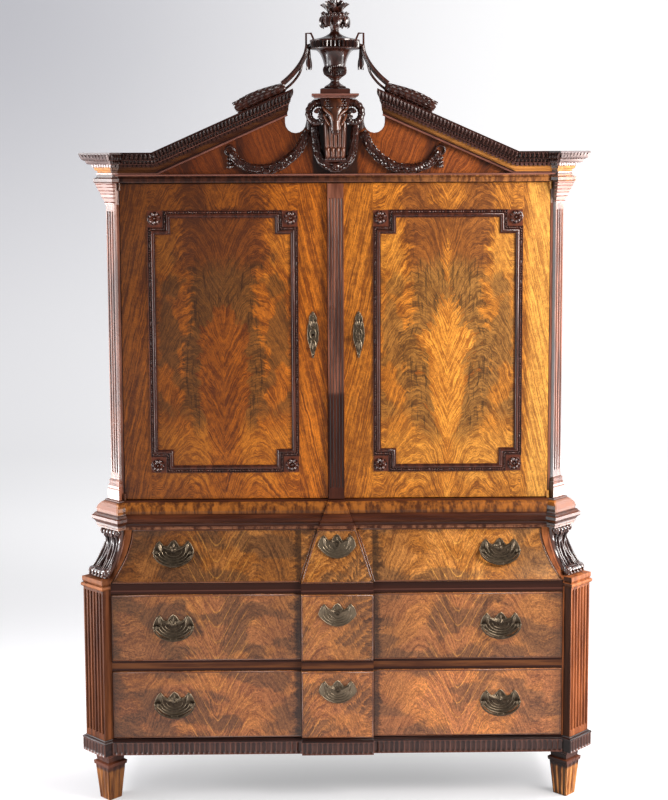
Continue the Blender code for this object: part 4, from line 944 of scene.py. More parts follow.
def walk(points, pitch):
    """Evenly spaced places along a line: place, direction and share of the whole."""
    points = [Vector(point) for point in points]
    lengths = [(b - a).length for a, b in zip(points, points[1:])]
    whole = sum(lengths)
    count = max(1, round(whole / pitch))
    found = []
    for k in range(count):
        left = whole * (k + 0.5) / count
        for a, b, length in zip(points, points[1:], lengths):
            if left <= length or b is points[-1]:
                found.append((a.lerp(b, min(left / length, 1.0)), (b - a).normalized(), (k + 0.5) / count))
                break
            left -= length
    return found


def flutes(count, low=0.1, high=0.9, ends=0.08, wide=0.36):
    """A relief with count round grooves side by side between two heights."""
    def shape(u, v):
        x = ((u * count) % 1.0 - 0.5) / wide
        end = max(low + ends - v, v - (high - ends), 0.0) / ends
        return 1.0 - math.sqrt(max(0.0, 1.0 - x * x - end * end))
    return shape


# Door panels
PANEL_BAND = 0.027
PANEL_PROUD = 0.0087
CORNER_WIDE = 0.08
CORNER_HIGH = 0.083
PEARL = 0.0034
PEARL_PITCH = 0.008
PEARL_GROUP = 5
PEARL_BAR = 0.02
ROSETTE = 0.0248
# Share of the radius and height as a share of it
ROSETTE_DISC = ((1.0, 0.0), (1.0, 0.1), (0.9, 0.13), (0.86, 0.05), (0.3, 0.03))
PETALS = 9


def panel_section():
    """The moulding across its band, outer edge first: fillet, broad bead, channel for the pearls, fillet."""
    half = PANEL_BAND / 2
    points = [(-1.0, 0.0), (-1.0, 0.42), (-0.8, 0.48), (-0.76, 0.3)]
    for i in range(7):
        turn = math.pi * (1.0 - i / 6)
        points.append((-0.34 + 0.4 * math.cos(turn), 0.36 + 0.64 * math.sin(turn)))
    points += [(0.1, 0.16), (0.78, 0.16), (0.8, 0.56), (0.94, 0.52), (1.0, 0.4), (1.0, 0.0)]
    return [(across * half, proud * PANEL_PROUD) for across, proud in points]


def pearls(carving, start, end, out=OUT):
    """Groups of pearls with a plain bar between them."""
    run = end - start
    ahead = run.normalized()
    unit = PEARL_GROUP * PEARL_PITCH + PEARL_BAR + PEARL_PITCH
    count = max(1, round((run.length - PEARL_GROUP * PEARL_PITCH) / unit))
    step = (run.length - PEARL_GROUP * PEARL_PITCH) / count
    for k in range(count + 1):
        for i in range(PEARL_GROUP):
            carving.bead(start + ahead * (k * step + (i + 0.5) * PEARL_PITCH), PEARL, out, 1.0)
        if k < count:
            middle = k * step + (PEARL_GROUP * PEARL_PITCH + step) / 2
            long = (step - PEARL_GROUP * PEARL_PITCH) / 2 / PEARL * 0.86
            carving.bead(start + ahead * middle, PEARL, out, 0.95, long, ahead, 10)


def rosette(carving, at, radius, out=OUT):
    """A disc with a ring of turned petals and a bead in its middle."""
    right = UP.cross(out).normalized()
    up = out.cross(right)
    rows = []
    for reach, rise in ROSETTE_DISC:
        rows.append([at + (right * a + up * b) * (reach * radius) + out * (rise * radius)
                     for a, b in around(24)])
    carving.skin(rows, wrap=True, caps=True)
    for j in range(PETALS):
        turn = 2 * math.pi * (j + 0.3) / PETALS
        root = at + (right * math.cos(turn) + up * math.sin(turn)) * (0.2 * radius) + out * (0.1 * radius)
        turn += 0.28
        tip = at + (right * math.cos(turn) + up * math.sin(turn)) * (0.93 * radius) + out * (0.12 * radius)
        carving.leaf(root, tip, out, radius * 0.46, 0.24, 0.3)
    carving.bead(at + out * (0.08 * radius), radius * 0.22, out, 1.3)


def door_panel(name, sign):
    """The moulding of a door, stepped round its corners, with pearls and four rosettes."""
    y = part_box("panel_moulding_" + name)[1].y
    half = PANEL_BAND / 2
    low_x, low_z = PANEL_LOW.x + half, PANEL_LOW.z + half
    high_x, high_z = PANEL_HIGH.x - half, PANEL_HIGH.z - half
    wide = CORNER_WIDE - PANEL_BAND
    tall = CORNER_HIGH - PANEL_BAND
    path = [(low_x + wide, low_z), (high_x - wide, low_z), (high_x - wide, low_z + tall),
            (high_x, low_z + tall), (high_x, high_z - tall), (high_x - wide, high_z - tall),
            (high_x - wide, high_z), (low_x + wide, high_z), (low_x + wide, high_z - tall),
            (low_x, high_z - tall), (low_x, low_z + tall), (low_x + wide, low_z + tall)]
    path = [Vector((sign * x, y, z)) for x, z in path]
    if sign < 0:
        path.reverse()
    carving = Carving()
    carving.moulding(path, [(-across, proud) for across, proud in panel_section()])
    shift = 0.44 * half
    inner = []
    for i, point in enumerate(path):
        before = (point - path[i - 1]).normalized()
        after = (path[(i + 1) % len(path)] - point).normalized()
        side = OUT.cross(before) + OUT.cross(after)
        side = side / side.dot(OUT.cross(before))
        inner.append(point - side * shift + OUT * (0.2 * PANEL_PROUD))
    for i, point in enumerate(inner):
        pearls(carving, point, inner[(i + 1) % len(inner)])
    for x, x_sign in ((PANEL_LOW.x, 1), (PANEL_HIGH.x, -1)):
        for z, z_sign in ((PANEL_LOW.z, 1), (PANEL_HIGH.z, -1)):
            corners = [Vector((sign * (x + x_sign * a), y, z + z_sign * b))
                       for a, b in ((0.0015, 0.0015), (wide, 0.0015), (wide, tall), (0.0015, tall))]
            rows = [[corner + OUT * rise for corner in corners] for rise in (0.0, 0.003)]
            carving.skin(rows, wrap=True, caps=True)
            at = Vector((sign * (x + x_sign * wide * 0.48), y, z + z_sign * tall * 0.48)) + OUT * 0.003
            rosette(carving, at, ROSETTE)
    carving.make("panel_frame_" + name, "door_" + name, "frame", ["panel_moulding_" + name])


# Cornice
CABINET_SIDE = 0.7775
CABINET_CANT = 0.031
CABINET_PROUD = 0.012
RAKE_END_SLANT = 0.45
CASE_BACK = 0.3075
# Distance out and share of the height at the root and the tip: leaves, smaller leaves, beads
CORNICE_ROWS = (
    ((0.0645, 0.93), (0.049, 0.67)),
    ((0.0485, 0.65), (0.0385, 0.5)),
    ((0.035, 0.455), (0.029, 0.33)),
)
# Distance out, share of the height and radius
CORNICE_LINES = ((0.02, 0.03, 0.0032), (0.0368, 0.478, 0.0016), (0.049, 0.66, 0.0014))
CORNICE_BROAD_RUN = 2
LEAF_PITCH_BROAD = 0.019
LEAF_PITCH = 0.0135
SMALL_LEAF_PITCH = 0.011
CORNICE_BEAD_PITCH = 0.015


def corner(side, front, cant, proud):
    """Plan of a canted block on the right: inner corner, two front corners and outer corner."""
    out = proud * SLANT
    inner = side - cant
    back = front + cant
    return [(inner, front), (inner + out, front - out), (side + out, back - out), (side, back)]


def cornice_line(sign, reach, share):
    """A line along the cornice at a distance out and a share of its height."""
    base = [Vector((CABINET_SIDE, CASE_BACK))]
    base += [Vector(point)
             for point in reversed(corner(CABINET_SIDE, CABINET_FRONT, CABINET_CANT, CABINET_PROUD))]
    z = CORNICE_BOTTOM + share * CORNICE_HIGH
    line = []
    for i, point in enumerate(base):
        if i == 0:
            out = Vector((1.0, 0.0))
        else:
            before = (point - base[i - 1]).normalized()
            after = (base[i + 1] - point).normalized() if i < len(base) - 1 else Vector((-1.0, 0.0))
            first = Vector((-before.y, before.x))
            second = Vector((-after.y, after.x))
            out = (first + second) / (1.0 + first.dot(second))
        spot = point + out * reach
        line.append(Vector((sign * spot.x, spot.y, z)))
    lean = math.tan(math.atan(RAKE_RISE) / 2)
    x = RAKE_START - lean * CORNICE_HIGH * (1.0 - share)
    line.append(Vector((sign * x, CABINET_FRONT - reach, z)))
    stop = RAKE_END - RAKE_END_SLANT * reach
    line.append(Vector((sign * stop, CABINET_FRONT - reach, z + (x - stop) * RAKE_RISE)))
    return line


def pairs(lines, i, count):
    """Evenly spaced places on run i of two lines."""
    high, low = lines
    shares = [(k + 0.5) / count for k in range(count)]
    return [(high[i].lerp(high[i + 1], share), low[i].lerp(low[i + 1], share)) for share in shares]


def cornice_rows(name, sign):
    """From the top: leaves, smaller leaves and beads. Thin lines run between them and round the top board."""
    carving = Carving()
    lines = [[cornice_line(sign, reach, share) for reach, share in row] for row in CORNICE_ROWS]
    leaves, small_leaves, beads = lines
    for i in range(len(leaves[0]) - 1):
        run = leaves[0][i + 1] - leaves[0][i]
        ahead = run.normalized()
        broad = i == CORNICE_BROAD_RUN
        count = max(1, round(run.length / (LEAF_PITCH_BROAD if broad else LEAF_PITCH)))
        pitch = run.length / count
        for root, tip in pairs(leaves, i, count):
            out = ((root - tip).cross(ahead) * sign).normalized()
            if out.y > 0.1:
                out = -out
            carving.leaf(root, tip, out, pitch * (0.62 if broad else 0.8), 0.2, 0.5)
            if not broad:
                side = ahead * (pitch / 2)
                carving.leaf(root + side, tip + side, out, pitch * 0.36, 0.1, 0.4, 4)
        for root, tip in pairs(small_leaves, i, round(run.length / SMALL_LEAF_PITCH)):
            carving.leaf(root, tip, out, 0.0085, 0.25, 0.5, 4)
        run = beads[0][i + 1] - beads[0][i]
        out = outward(run.normalized(), sign)
        count = max(1, round(run.length / CORNICE_BEAD_PITCH))
        for root, tip in pairs(beads, i, count):
            carving.bead(root.lerp(tip, 0.42), run.length / count * 0.42, out, 0.8, 1.15, tip - root)
    carving.make("cornice_carving_" + name, "case", "rows")
    carving = Carving()
    for reach, share, radius in CORNICE_LINES:
        carving.tube(cornice_line(sign, reach, share), radius, UP, 6)
    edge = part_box("cabinet_top")
    front = Vector((0.0, edge[0].y + 0.002, edge[1].z - 0.0025))
    carving.tube([front, front + Vector((sign * 0.745, 0.0, 0.0))], 0.0026, UP, 6)
    carving.make("cornice_lines_" + name, "case", "ledge")


def outward(ahead, sign):
    """Level direction away from the cabinet beside a line that runs from the back forwards and inwards."""
    out = UP.cross(ahead) * -sign
    out.z = 0.0
    return out.normalized()


# Steps under the cornice's corners: distance below the top board and growth
CAPITAL_STEPS = ((0.0665, 0.003), (0.05, 0.0092), (0.037, 0.0125), (0.026, 0.017), (0.014, 0.0215),
                 (0.004, 0.0245))
CAPITAL_RETURN = 0.03
CAPITAL_CUT = 0.55
CAPITAL_ROUND = 0.0022


def capital(name, sign):
    """Thin steps round the canted block over a fluted pilaster."""
    top = heights("cabinet_top")[0]
    carving = Carving()
    for down, grow in CAPITAL_STEPS:
        plan = grown_corner(CABINET_SIDE, CABINET_FRONT, CABINET_CANT, CABINET_PROUD, grow)
        plan.append((plan[3][0], plan[3][1] + CAPITAL_RETURN))
        plan[0] = tuple(blend(a, b, CAPITAL_CUT) for a, b in zip(plan[0], plan[1]))
        carving.tube([Vector((sign * x, y, top - down)) for x, y in plan], CAPITAL_ROUND, UP, 6)
    carving.make("capital_steps_" + name, "case", "ledge", sharp=60)


# Plinth and feet
PLINTH_Z = heights("plinth")
PLINTH_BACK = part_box("plinth")[1].y
CHEST_SIDE = DRAWER_HALF + 0.084
CHEST_FRONT = 0.0205 + DATUM_Y
CHEST_CANT = 0.0765
POST_PROUD = 0.029
PLINTH_OUT = 0.0106
FLUTE_PITCH = 0.0178
FLUTE_DEEP = 0.0046


def grown_corner(side, front, cant, proud, grow):
    step = grow * (math.sqrt(2.0) - 1.0)
    points = corner(side, front, cant, proud)
    far = grow * math.sqrt(2.0)
    moves = [(-step, -grow), (0.0, -far), (far, 0.0), (grow, step)]
    return [(x + a, y + b) for (x, y), (a, b) in zip(points, moves)]


def plinth_plan(z, grow):
    """The whole plan of the plinth, grown by a distance."""
    front = CHEST_FRONT - grow
    corners = grown_corner(CHEST_SIDE, CHEST_FRONT, CHEST_CANT, POST_PROUD, grow)
    right = [(BREAK_HALF, front - BREAK_STEP), (BREAK_HALF, front), *corners,
             (corners[3][0], PLINTH_BACK)]
    return [Vector((x, y, z)) for x, y in right] + [Vector((-x, y, z)) for x, y in reversed(right)]


def plinth():
    """A slab whose lower part is set back behind a row of flutes."""
    low, high = PLINTH_Z
    top = blend(low, high, 0.8)
    inset = PLINTH_OUT - FLUTE_DEEP
    carving = Carving()
    levels = ((low, inset), (top, inset), (top, PLINTH_OUT), (blend(low, high, 0.86), PLINTH_OUT),
              (blend(low, high, 0.92), 0.0075), (blend(low, high, 0.94), 0.003), (high, 0.002))
    carving.skin([plinth_plan(z, grow) for z, grow in levels], wrap=True, caps=True)
    carving.make("plinth_body", "case", "level", ["plinth"], sharp=20, round_by=EDGE_ROUND)
    carving = Carving()
    corners = grown_corner(CHEST_SIDE, CHEST_FRONT, CHEST_CANT, POST_PROUD, inset)
    front = CHEST_FRONT - inset
    runs = [((-BREAK_HALF, front - BREAK_STEP), (BREAK_HALF, front - BREAK_STEP))]
    for sign in (-1, 1):
        ends = [(sign * BREAK_HALF, front), (sign * corners[0][0], front)]
        runs.append(sorted(ends))
        cant = [(sign * corners[1][0], corners[1][1]), (sign * corners[2][0], corners[2][1])]
        runs.append(sorted(cant))
        side = [(sign * corners[3][0], corners[3][1]), (sign * corners[3][0], PLINTH_BACK)]
        runs.append(side if sign > 0 else side[::-1])
    for first, second in runs:
        a, b = Vector((*first, 0.0)), Vector((*second, 0.0))
        way = b - a
        out = way.normalized().cross(UP)
        count = max(2, round(way.length / FLUTE_PITCH))
        patch = [Vector((a.x, a.y, low)), Vector((b.x, b.y, low)), Vector((b.x, b.y, top)),
                 Vector((a.x, a.y, top))]
        carving.relief(patch, out, FLUTE_DEEP - 0.0006, flutes(count, 0.06, 0.97, 0.14, 0.42), count * 9, 12)
    carving.make("plinth_flutes", "case", "fluting", sharp=60)


FOOT_HALF = 0.035
FOOT_KNEE = 0.12
FOOT_KNEE_HALF = 0.049


def foot_flutes(name):
    """Three flutes on each face of a tapered foot."""
    low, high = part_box(name)
    x, y = (low.x + high.x) / 2, (low.y + high.y) / 2
    carving = Carving()
    for k in range(4):
        first = math.pi / 2 * k
        second = first + math.pi / 2
        foot, knee = FOOT_HALF, FOOT_KNEE_HALF
        spots = ((first, foot, 0.0006), (second, foot, 0.0006), (second, knee, FOOT_KNEE),
                 (first, knee, FOOT_KNEE))
        patch = [Vector((x + half * math.cos(turn), y + half * math.sin(turn), z)) for turn, half, z in spots]
        middle = Vector((math.cos(first + math.pi / 4), math.sin(first + math.pi / 4), -0.08)).normalized()
        carving.relief(patch, middle, 0.0026, flutes(3, 0.04, 0.95, 0.1, 0.34), 27, 14)
    carving.make(name + "_flutes", "case", "foot", sharp=60)


# Drawers
def drawer_share(z):
    """0 on the flat face and 1 at the top of the curved one."""
    low, high = DRAWER_SPANS["upper"]
    return 1.0 - min(max((high - z) / (high - low), 0.0), 1.0) ** FLARE_POWER


def face_y(z):
    return blend(DRAWER_Y, DRAWER_TOP_Y, drawer_share(z))


def drawer_half(z):
    return blend(DRAWER_HALF, DRAWER_TOP_HALF, drawer_share(z))


def break_half(z):
    low, high = DRAWER_SPANS["upper"]
    share = min(max((z - low) / (high - low), 0.0), 1.0)
    return blend(BREAK_HALF, BREAK_TOP_HALF, share)


BEAD = 0.0022


def drawer_beads(name):
    """A cockbead round each of a drawer's three fields."""
    low, high = DRAWER_SPANS[name]
    low += 0.003
    high -= 0.003
    levels = [blend(low, high, i / 8) for i in range(9)] if name == "upper" else [low, high]
    carving = Carving()
    for first, second, step in (
        (lambda z: -drawer_half(z) + 0.003, lambda z: -break_half(z) - 0.004, 0.0),
        (lambda z: -break_half(z) + 0.003, lambda z: break_half(z) - 0.003, BREAK_STEP),
        (lambda z: break_half(z) + 0.004, lambda z: drawer_half(z) - 0.003, 0.0),
    ):
        loop = [Vector((first(z), face_y(z) - step, z)) for z in levels]
        loop += [Vector((second(z), face_y(z) - step, z)) for z in reversed(levels)]
        carving.tube(loop, BEAD, OUT, 6, closed=True)
    carving.make("cockbead_" + name, "drawer_" + name, "bead", sharp=70)


# Bronze mounts. Half the outline of a handle plate, as shares of its width and height
CROWN = ((0.0, 0.5), (0.06, 0.44), (0.105, 0.33), (0.15, 0.215), (0.19, 0.19), (0.245, 0.26), (0.3, 0.37),
         (0.35, 0.48), (0.42, 0.36), (0.465, 0.23), (0.5, 0.055), (0.47, -0.05), (0.4, -0.165),
         (0.33, -0.265), (0.25, -0.345), (0.16, -0.405), (0.08, -0.437), (0.0, -0.45))
HANDLE_SIZE = (0.144, 0.091)
CENTRE_SIZE = (0.134, 0.086)
HANDLE_X = DRAWER_HALF - 0.2135
PLATE_THICK = 0.003
# Size as a share and radius
CRESCENTS = ((0.8, 0.0016), (0.62, 0.0014), (0.44, 0.0012))
KEYHOLE_HALF = (0.0125, 0.0165)
# Share of the reach and height over the plate
KEYHOLE_RIM = ((1.0, 0.0), (0.94, 0.0034), (0.6, 0.0046), (0.34, 0.004), (0.3, 0.0008))
RIBS = 4


def mount_frame(node, x):
    """Where a plate's middle is and which way it faces."""
    low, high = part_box(node)
    z = (low.z + high.z) / 2
    half = (high.z - low.z) / 2
    tilt = math.atan2(face_y(z + half) - face_y(z - half), 2 * half)
    out = Vector((0.0, -math.cos(tilt), math.sin(tilt)))
    up = Vector((0.0, math.sin(tilt), math.cos(tilt)))
    y = (face_y(z + half) + face_y(z - half)) / 2
    return Vector((x, y, z)), Vector((1, 0, 0)), up, out


def crown_relief(carving, at, right, up, out, size, keyhole):
    """Rim, ribs, crescents and a boss on a plate with three peaks."""
    wide, high = size
    half = [(x * wide, z * high) for x, z in CROWN]
    loop = half + [(-x, z) for x, z in reversed(half[1:-1])]
    place = lambda x, z, rise: at + right * x + up * z + out * (PLATE_THICK + rise)
    carving.tube([place(x * 0.97, z * 0.97, 0.0008) for x, z in loop], 0.0017, out, 6, closed=True)
    for scale, radius in CRESCENTS:
        arc = []
        for i in range(15):
            turn = math.pi * (1.06 + 0.88 * i / 14)
            arc.append(place(wide * 0.46 * scale * math.cos(turn),
                             high * (0.1 + 0.53 * scale * math.sin(turn)), 0.001))
        carving.tube(arc, radius, out, 6)
    for k in range(-RIBS, RIBS + 1):
        lean = k / RIBS
        root = place(wide * 0.05 * lean, high * 0.1, 0.0008)
        tip = place(wide * 0.33 * lean,
                    high * (0.4 - 0.13 * (1 - abs(lean)) * (abs(lean) > 0.1) - 0.1 * abs(lean)), 0.0006)
        carving.leaf(root, tip, out, 0.0062, 0.06, 0.3, 5)
    for sign in (-1, 1):
        carving.leaf(place(sign * wide * 0.3, high * 0.02, 0.001),
                     place(sign * wide * 0.345, high * 0.42, 0.001), out, 0.01, 0.08, 0.3)
    if keyhole:
        rows = []
        for reach, rise in KEYHOLE_RIM:
            rows.append([place(KEYHOLE_HALF[0] * reach * a, high * 0.1 + KEYHOLE_HALF[1] * reach * b, rise)
                         for a, b in around(20)])
        carving.skin(rows, wrap=True)
    else:
        carving.bead(place(0.0, high * 0.12, 0.0), 0.0105, out, 0.75, 1.0, up, 16)
        carving.bead(place(0.0, high * 0.12, 0.006), 0.0042, out, 1.0, 1.0, up, 12)


def drawer_mounts(name):
    """The relief of a drawer's two handle plates and of its keyhole's plate."""
    carving = Carving()
    for side, sign in SIDES:
        crown_relief(carving, *mount_frame(f"handle_plate_{name}_{side}", sign * HANDLE_X), HANDLE_SIZE,
                     False)
    at, right, up, out = mount_frame("drawer_escutcheon_" + name, 0.0)
    crown_relief(carving, at + OUT * BREAK_STEP, right, up, out, CENTRE_SIZE, True)
    carving.make("mounts_" + name, "drawer_" + name, "bronze", sharp=60)


BAIL_DROP = 0.046


def bail(name, side, sign):
    """A thin crescent with a swelling in its middle and a knob at each end."""
    right, up, out = mount_frame(f"handle_plate_{name}_{side}", sign * HANDLE_X)[1:]
    pivot = next(Vector(joint["pos_m"])
                 for joint in frame["joints"] if joint["name"] == f"bail_{name}_{side}_hinge")
    low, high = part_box(f"handle_bail_{name}_{side}")
    half = (high.x - low.x) / 2 - 0.0035
    place = lambda x, z: pivot + right * x + up * z
    carving = Carving()
    path, radii = [], []
    for i in range(41):
        turn = math.pi * i / 40
        share = math.sin(turn)
        path.append(place(-half * math.cos(turn), -BAIL_DROP * share))
        swell = 0.0012 * max(0.0, math.cos((i - 20) * 0.35)) if abs(i - 20) < 5 else 0.0
        radii.append(0.0026 + 0.0018 * share + swell)
    carving.tube(path, radii, out, 10)
    for end in (-1, 1):
        carving.bead(place(end * half, 0.0), 0.005, right * end, 0.9, 1.0, up, 12)
        carving.bead(place(end * half * 0.96, -0.012), 0.0042, out, 1.0, 1.0, up, 10)
        carving.bead(place(end * 0.01, -BAIL_DROP * 0.99), 0.0064, out, 0.8, 0.5, right, 10)
    carving.make(f"bail_carving_{name}_{side}", f"bail_{name}_{side}", "bronze",
                 [f"handle_bail_{name}_{side}"], sharp=60)


# Half the outline of a door's lock plate, as shares of its width and height
DOOR_PLATE = ((0.07, 0.49), (0.2, 0.43), (0.31, 0.38), (0.34, 0.29), (0.44, 0.18), (0.49, 0.04),
              (0.46, -0.11), (0.35, -0.21), (0.2, -0.32), (0.13, -0.41), (0.05, -0.49))
# Height of the roots, way, length and spread of the leaves
DOOR_PLATE_LEAVES = ((0.14, 1, 0.22, 0.16), (-0.11, -1, 0.26, 0.13))


def door_mounts(name):
    """Leaves, a beaded shield and a drop on the long plate of a door's lock."""
    low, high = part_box("door_escutcheon_" + name)
    x, z = (low.x + high.x) / 2, (low.z + high.z) / 2
    face = low.y
    wide, tall = high.x - low.x, high.z - low.z
    place = lambda u, v, rise: Vector((x + u * wide, face - rise, z + v * tall))
    carving = Carving()
    loop = list(DOOR_PLATE) + [(-u, v) for u, v in reversed(DOOR_PLATE)]
    carving.tube([place(u * 0.94, v * 0.98, 0.0004) for u, v in loop], 0.0013, OUT, 6, closed=True)
    ring = [place(0.26 * b, 0.02 + 0.105 * a, 0.0008) for a, b in around(20)]
    carving.tube(ring, 0.0021, OUT, 6, closed=True)
    for v, way, length, spread in DOOR_PLATE_LEAVES:
        for k in (-1, 0, 1):
            root = place(k * 0.1, v, 0.0004)
            tip = place(k * (0.1 + spread), v + way * length * (1 - 0.12 * abs(k)), 0.0006)
            carving.leaf(root, tip, OUT, 0.0085, 0.1, 0.35)
    for v in (0.4, 0.455):
        carving.bead(place(0.0, v, 0.0), 0.0042, OUT, 0.9)
    carving.bead(place(0.0, -0.44, 0.0), 0.0036, OUT, 0.9, 1.8)
    carving.make("door_mount_" + name, "door_" + name, "bronze", sharp=60)


# Ram's head, swags and urn
ABACUS = (2.438, 2.4515)
ABACUS_HALF = 0.079
ABACUS_Y = (CABINET_FRONT - 0.0985, CABINET_FRONT + 0.0445)
HORN_MIDDLE = (0.059, -0.0545)
HORN_REACH = (0.037, 0.008)
HORN_FORE = (0.04, 0.082)
HORN_RADII = (0.015, 0.008)
HORN_TURN = (155, 470)
HORN_STEPS = 64
HORN_RINGS = 19
HORN_ROOT = ((0.083, 0.03, -0.05), (0.087, 0.018, -0.066), (0.0885, 0.01, -0.084), (0.088, 0.008, -0.104))
BROW = ((0.041, 0.072, -0.03), (0.034, 0.094, -0.041), (0.024, 0.103, -0.049), (0.013, 0.106, -0.06),
        (0.007, 0.11, -0.078))
CHEEK = ((0.037, 0.078, -0.055), (0.03, 0.092, -0.072), (0.02, 0.106, -0.092))
EAR = ((0.036, 0.076, -0.046), (0.06, 0.074, -0.066))
LIP = ((0.017, 0.105, -0.106), (0.013, 0.117, -0.119), (0.0, 0.12, -0.1215))
REED = 0.0068
LONG_REED = ((0.94, 0.04, -0.168), (0.96, 0.048, -0.162), (1.05, 0.06, -0.08), (1.1, 0.05, -0.045))
SHORT_REED = ((0.97, 0.036, -0.198), (1.0, 0.043, -0.193), (1.03, 0.047, -0.171), (1.0, 0.038, -0.165))
# Height under the abacus, half width and depth
RAM_BLOCK = ((-0.213, 0.033, 0.036), (-0.196, 0.0335, 0.041), (-0.168, 0.036, 0.045), (-0.11, 0.038, 0.052),
             (-0.045, 0.041, 0.058))
NECK = ((-0.052, 0.034, 0.026), (-0.03, 0.046, 0.029), (0.0002, 0.05, 0.03))
# Height in the abacus and how far its edge stands back
ABACUS_EDGE = ((0.0, 0.009), (0.0035, 0.0075), (0.006, 0.003), (0.007, 0.0), (0.0128, 0.0), (0.0135, 0.001))
# The head from brow to chin: fore, up, half width and half height
HEAD_FORE = 0.92
HEAD = (
    (0.03, -0.004, 0.036, 0.024),
    (0.052, -0.018, 0.041, 0.032),
    (0.064, -0.036, 0.04, 0.036),
    (0.072, -0.052, 0.035, 0.035),
    (0.079, -0.067, 0.027, 0.031),
    (0.087, -0.083, 0.0205, 0.026),
    (0.094, -0.098, 0.0175, 0.022),
    (0.1, -0.111, 0.017, 0.019),
    (0.103, -0.12, 0.0135, 0.014),
    (0.103, -0.125, 0.006, 0.006),
)


def spot(x, fore, up):
    """A place in front of the cabinet, its height taken from under the abacus."""
    return Vector((x, CABINET_FRONT - fore * HEAD_FORE, ABACUS[0] + up))


def box_rings(carving, levels, middle_y):
    """A stack of rectangles: height, half width and half depth."""
    rows = [[Vector((a * x, middle_y + b * y, z)) for a, b in ((-1, -1), (1, -1), (1, 1), (-1, 1))]
            for z, x, y in levels]
    carving.skin(rows, wrap=True, caps=True)


def spots(points, across=1):
    return [spot(across * x, fore, up) for x, fore, up in points]


def horn(carving, sign):
    """A ringed horn that curls outwards, and the hair below its root."""
    path, radii = [], []
    for i in range(HORN_STEPS + 1):
        share = i / HORN_STEPS
        turn = math.radians(HORN_TURN[0] - HORN_TURN[1] * share)
        reach = blend(*HORN_REACH, share ** 1.2)
        x = HORN_MIDDLE[0] + reach * math.cos(turn)
        path.append(spot(sign * x, blend(*HORN_FORE, share), HORN_MIDDLE[1] + reach * math.sin(turn) * 1.12))
        radii.append(blend(*HORN_RADII, share) * (1.0 + 0.1 * math.sin(share * 2 * math.pi * HORN_RINGS)))
    carving.tube(path, radii, OUT, 10)
    carving.tube(spots(HORN_ROOT, sign), [0.006, 0.0095, 0.0105, 0.008], OUT, 10)


def half_face(carving, face, sign):
    """Brow, eye, cheek, ear, nostril and lip."""
    face.tube(spots(BROW, sign), [0.004, 0.0055, 0.0055, 0.0045, 0.0025], OUT, 8)
    eye = spot(sign * 0.0275, 0.0985, -0.0575)
    carving.bead(eye, 0.0052, (sign * 0.6, -1.0, 0.0), 0.9, 1.35, (sign, 0, 0.35), 12)
    face.tube(spots(CHEEK, sign), [0.0045, 0.0055, 0.003], OUT, 8)
    carving.leaf(*spots(EAR, sign), OUT, 0.017, 0.2, 0.2)
    nostril = spot(sign * 0.0085, 0.1205, -0.112)
    carving.bead(nostril, 0.0042, (sign * 0.5, -1.0, -0.2), 0.8, 1.3, (sign * 0.5, 0, 1), 10)
    carving.tube(spots(LIP, sign), 0.0022, OUT, 6)


def forelock(carving):
    """Rows of curls over the brow."""
    wool = random.Random(4)
    for row in range(4):
        for k in range(7):
            x = (k - 3 + 0.5 * (row % 2)) * 0.0098
            curl = spot(x, 0.079 + row * 0.0065 - 6.0 * x * x, -0.008 - row * 0.0085)
            carving.bead(curl, 0.0052 + 0.001 * wool.random(), (x * 12, -1.0, 0.35), 0.9, 1.0, None, 8)


def reeded_block(carving, face):
    """Long and short reeds on a tapered block, over a row of beads."""
    for x in (-0.0285, -0.0143, 0.0, 0.0143, 0.0285):
        face.tube(spots(LONG_REED, x), [REED * share for share in (0.8, 0.95, 1.0, 0.7)], OUT, 10)
    for k in range(4):
        face.tube(spots(SHORT_REED, (k - 1.5) * 0.0165), [0.0055, 0.007, 0.0075, 0.0058], OUT, 10)
    rows = []
    for up, half, fore in RAM_BLOCK:
        plan = ((-half, fore), (half, fore), (half, 0.0003), (-half, 0.0003))
        rows.append([Vector((x, CABINET_FRONT - proud, ABACUS[0] + up)) for x, proud in plan])
    carving.skin(rows, wrap=True, caps=True)
    for k in range(6):
        carving.bead(spot((k - 2.5) * 0.0122, 0.04, -0.2045), 0.0056, OUT, 1.0)


def ram_head():
    """A slab for the urn, and the ram's head on its reeded block below it."""
    slab, carving, face = Carving(), Carving(), Carving()
    middle = sum(ABACUS_Y) / 2
    deep = (ABACUS_Y[1] - ABACUS_Y[0]) / 2
    box_rings(slab, [(ABACUS[0] + up, ABACUS_HALF - trim, deep - trim) for up, trim in ABACUS_EDGE], middle)
    slab.make("ram_slab", "case", "ledge")
    box_rings(carving, [(ABACUS[0] + up, half, half_deep) for up, half, half_deep in NECK],
              CABINET_FRONT - 0.0302)
    face.tube([spot(0.0, fore, up) for fore, up, _, _ in HEAD], [(wide, high) for _, _, wide, high in HEAD],
              OUT, 20)
    for sign in (-1, 1):
        horn(carving, sign)
        half_face(carving, face, sign)
    forelock(carving)
    reeded_block(carving, face)
    carving.make("ram_carving", "case", "carving", ["ram_console"], sharp=50)
    face.make("ram_face", "case", "face", sharp=50)


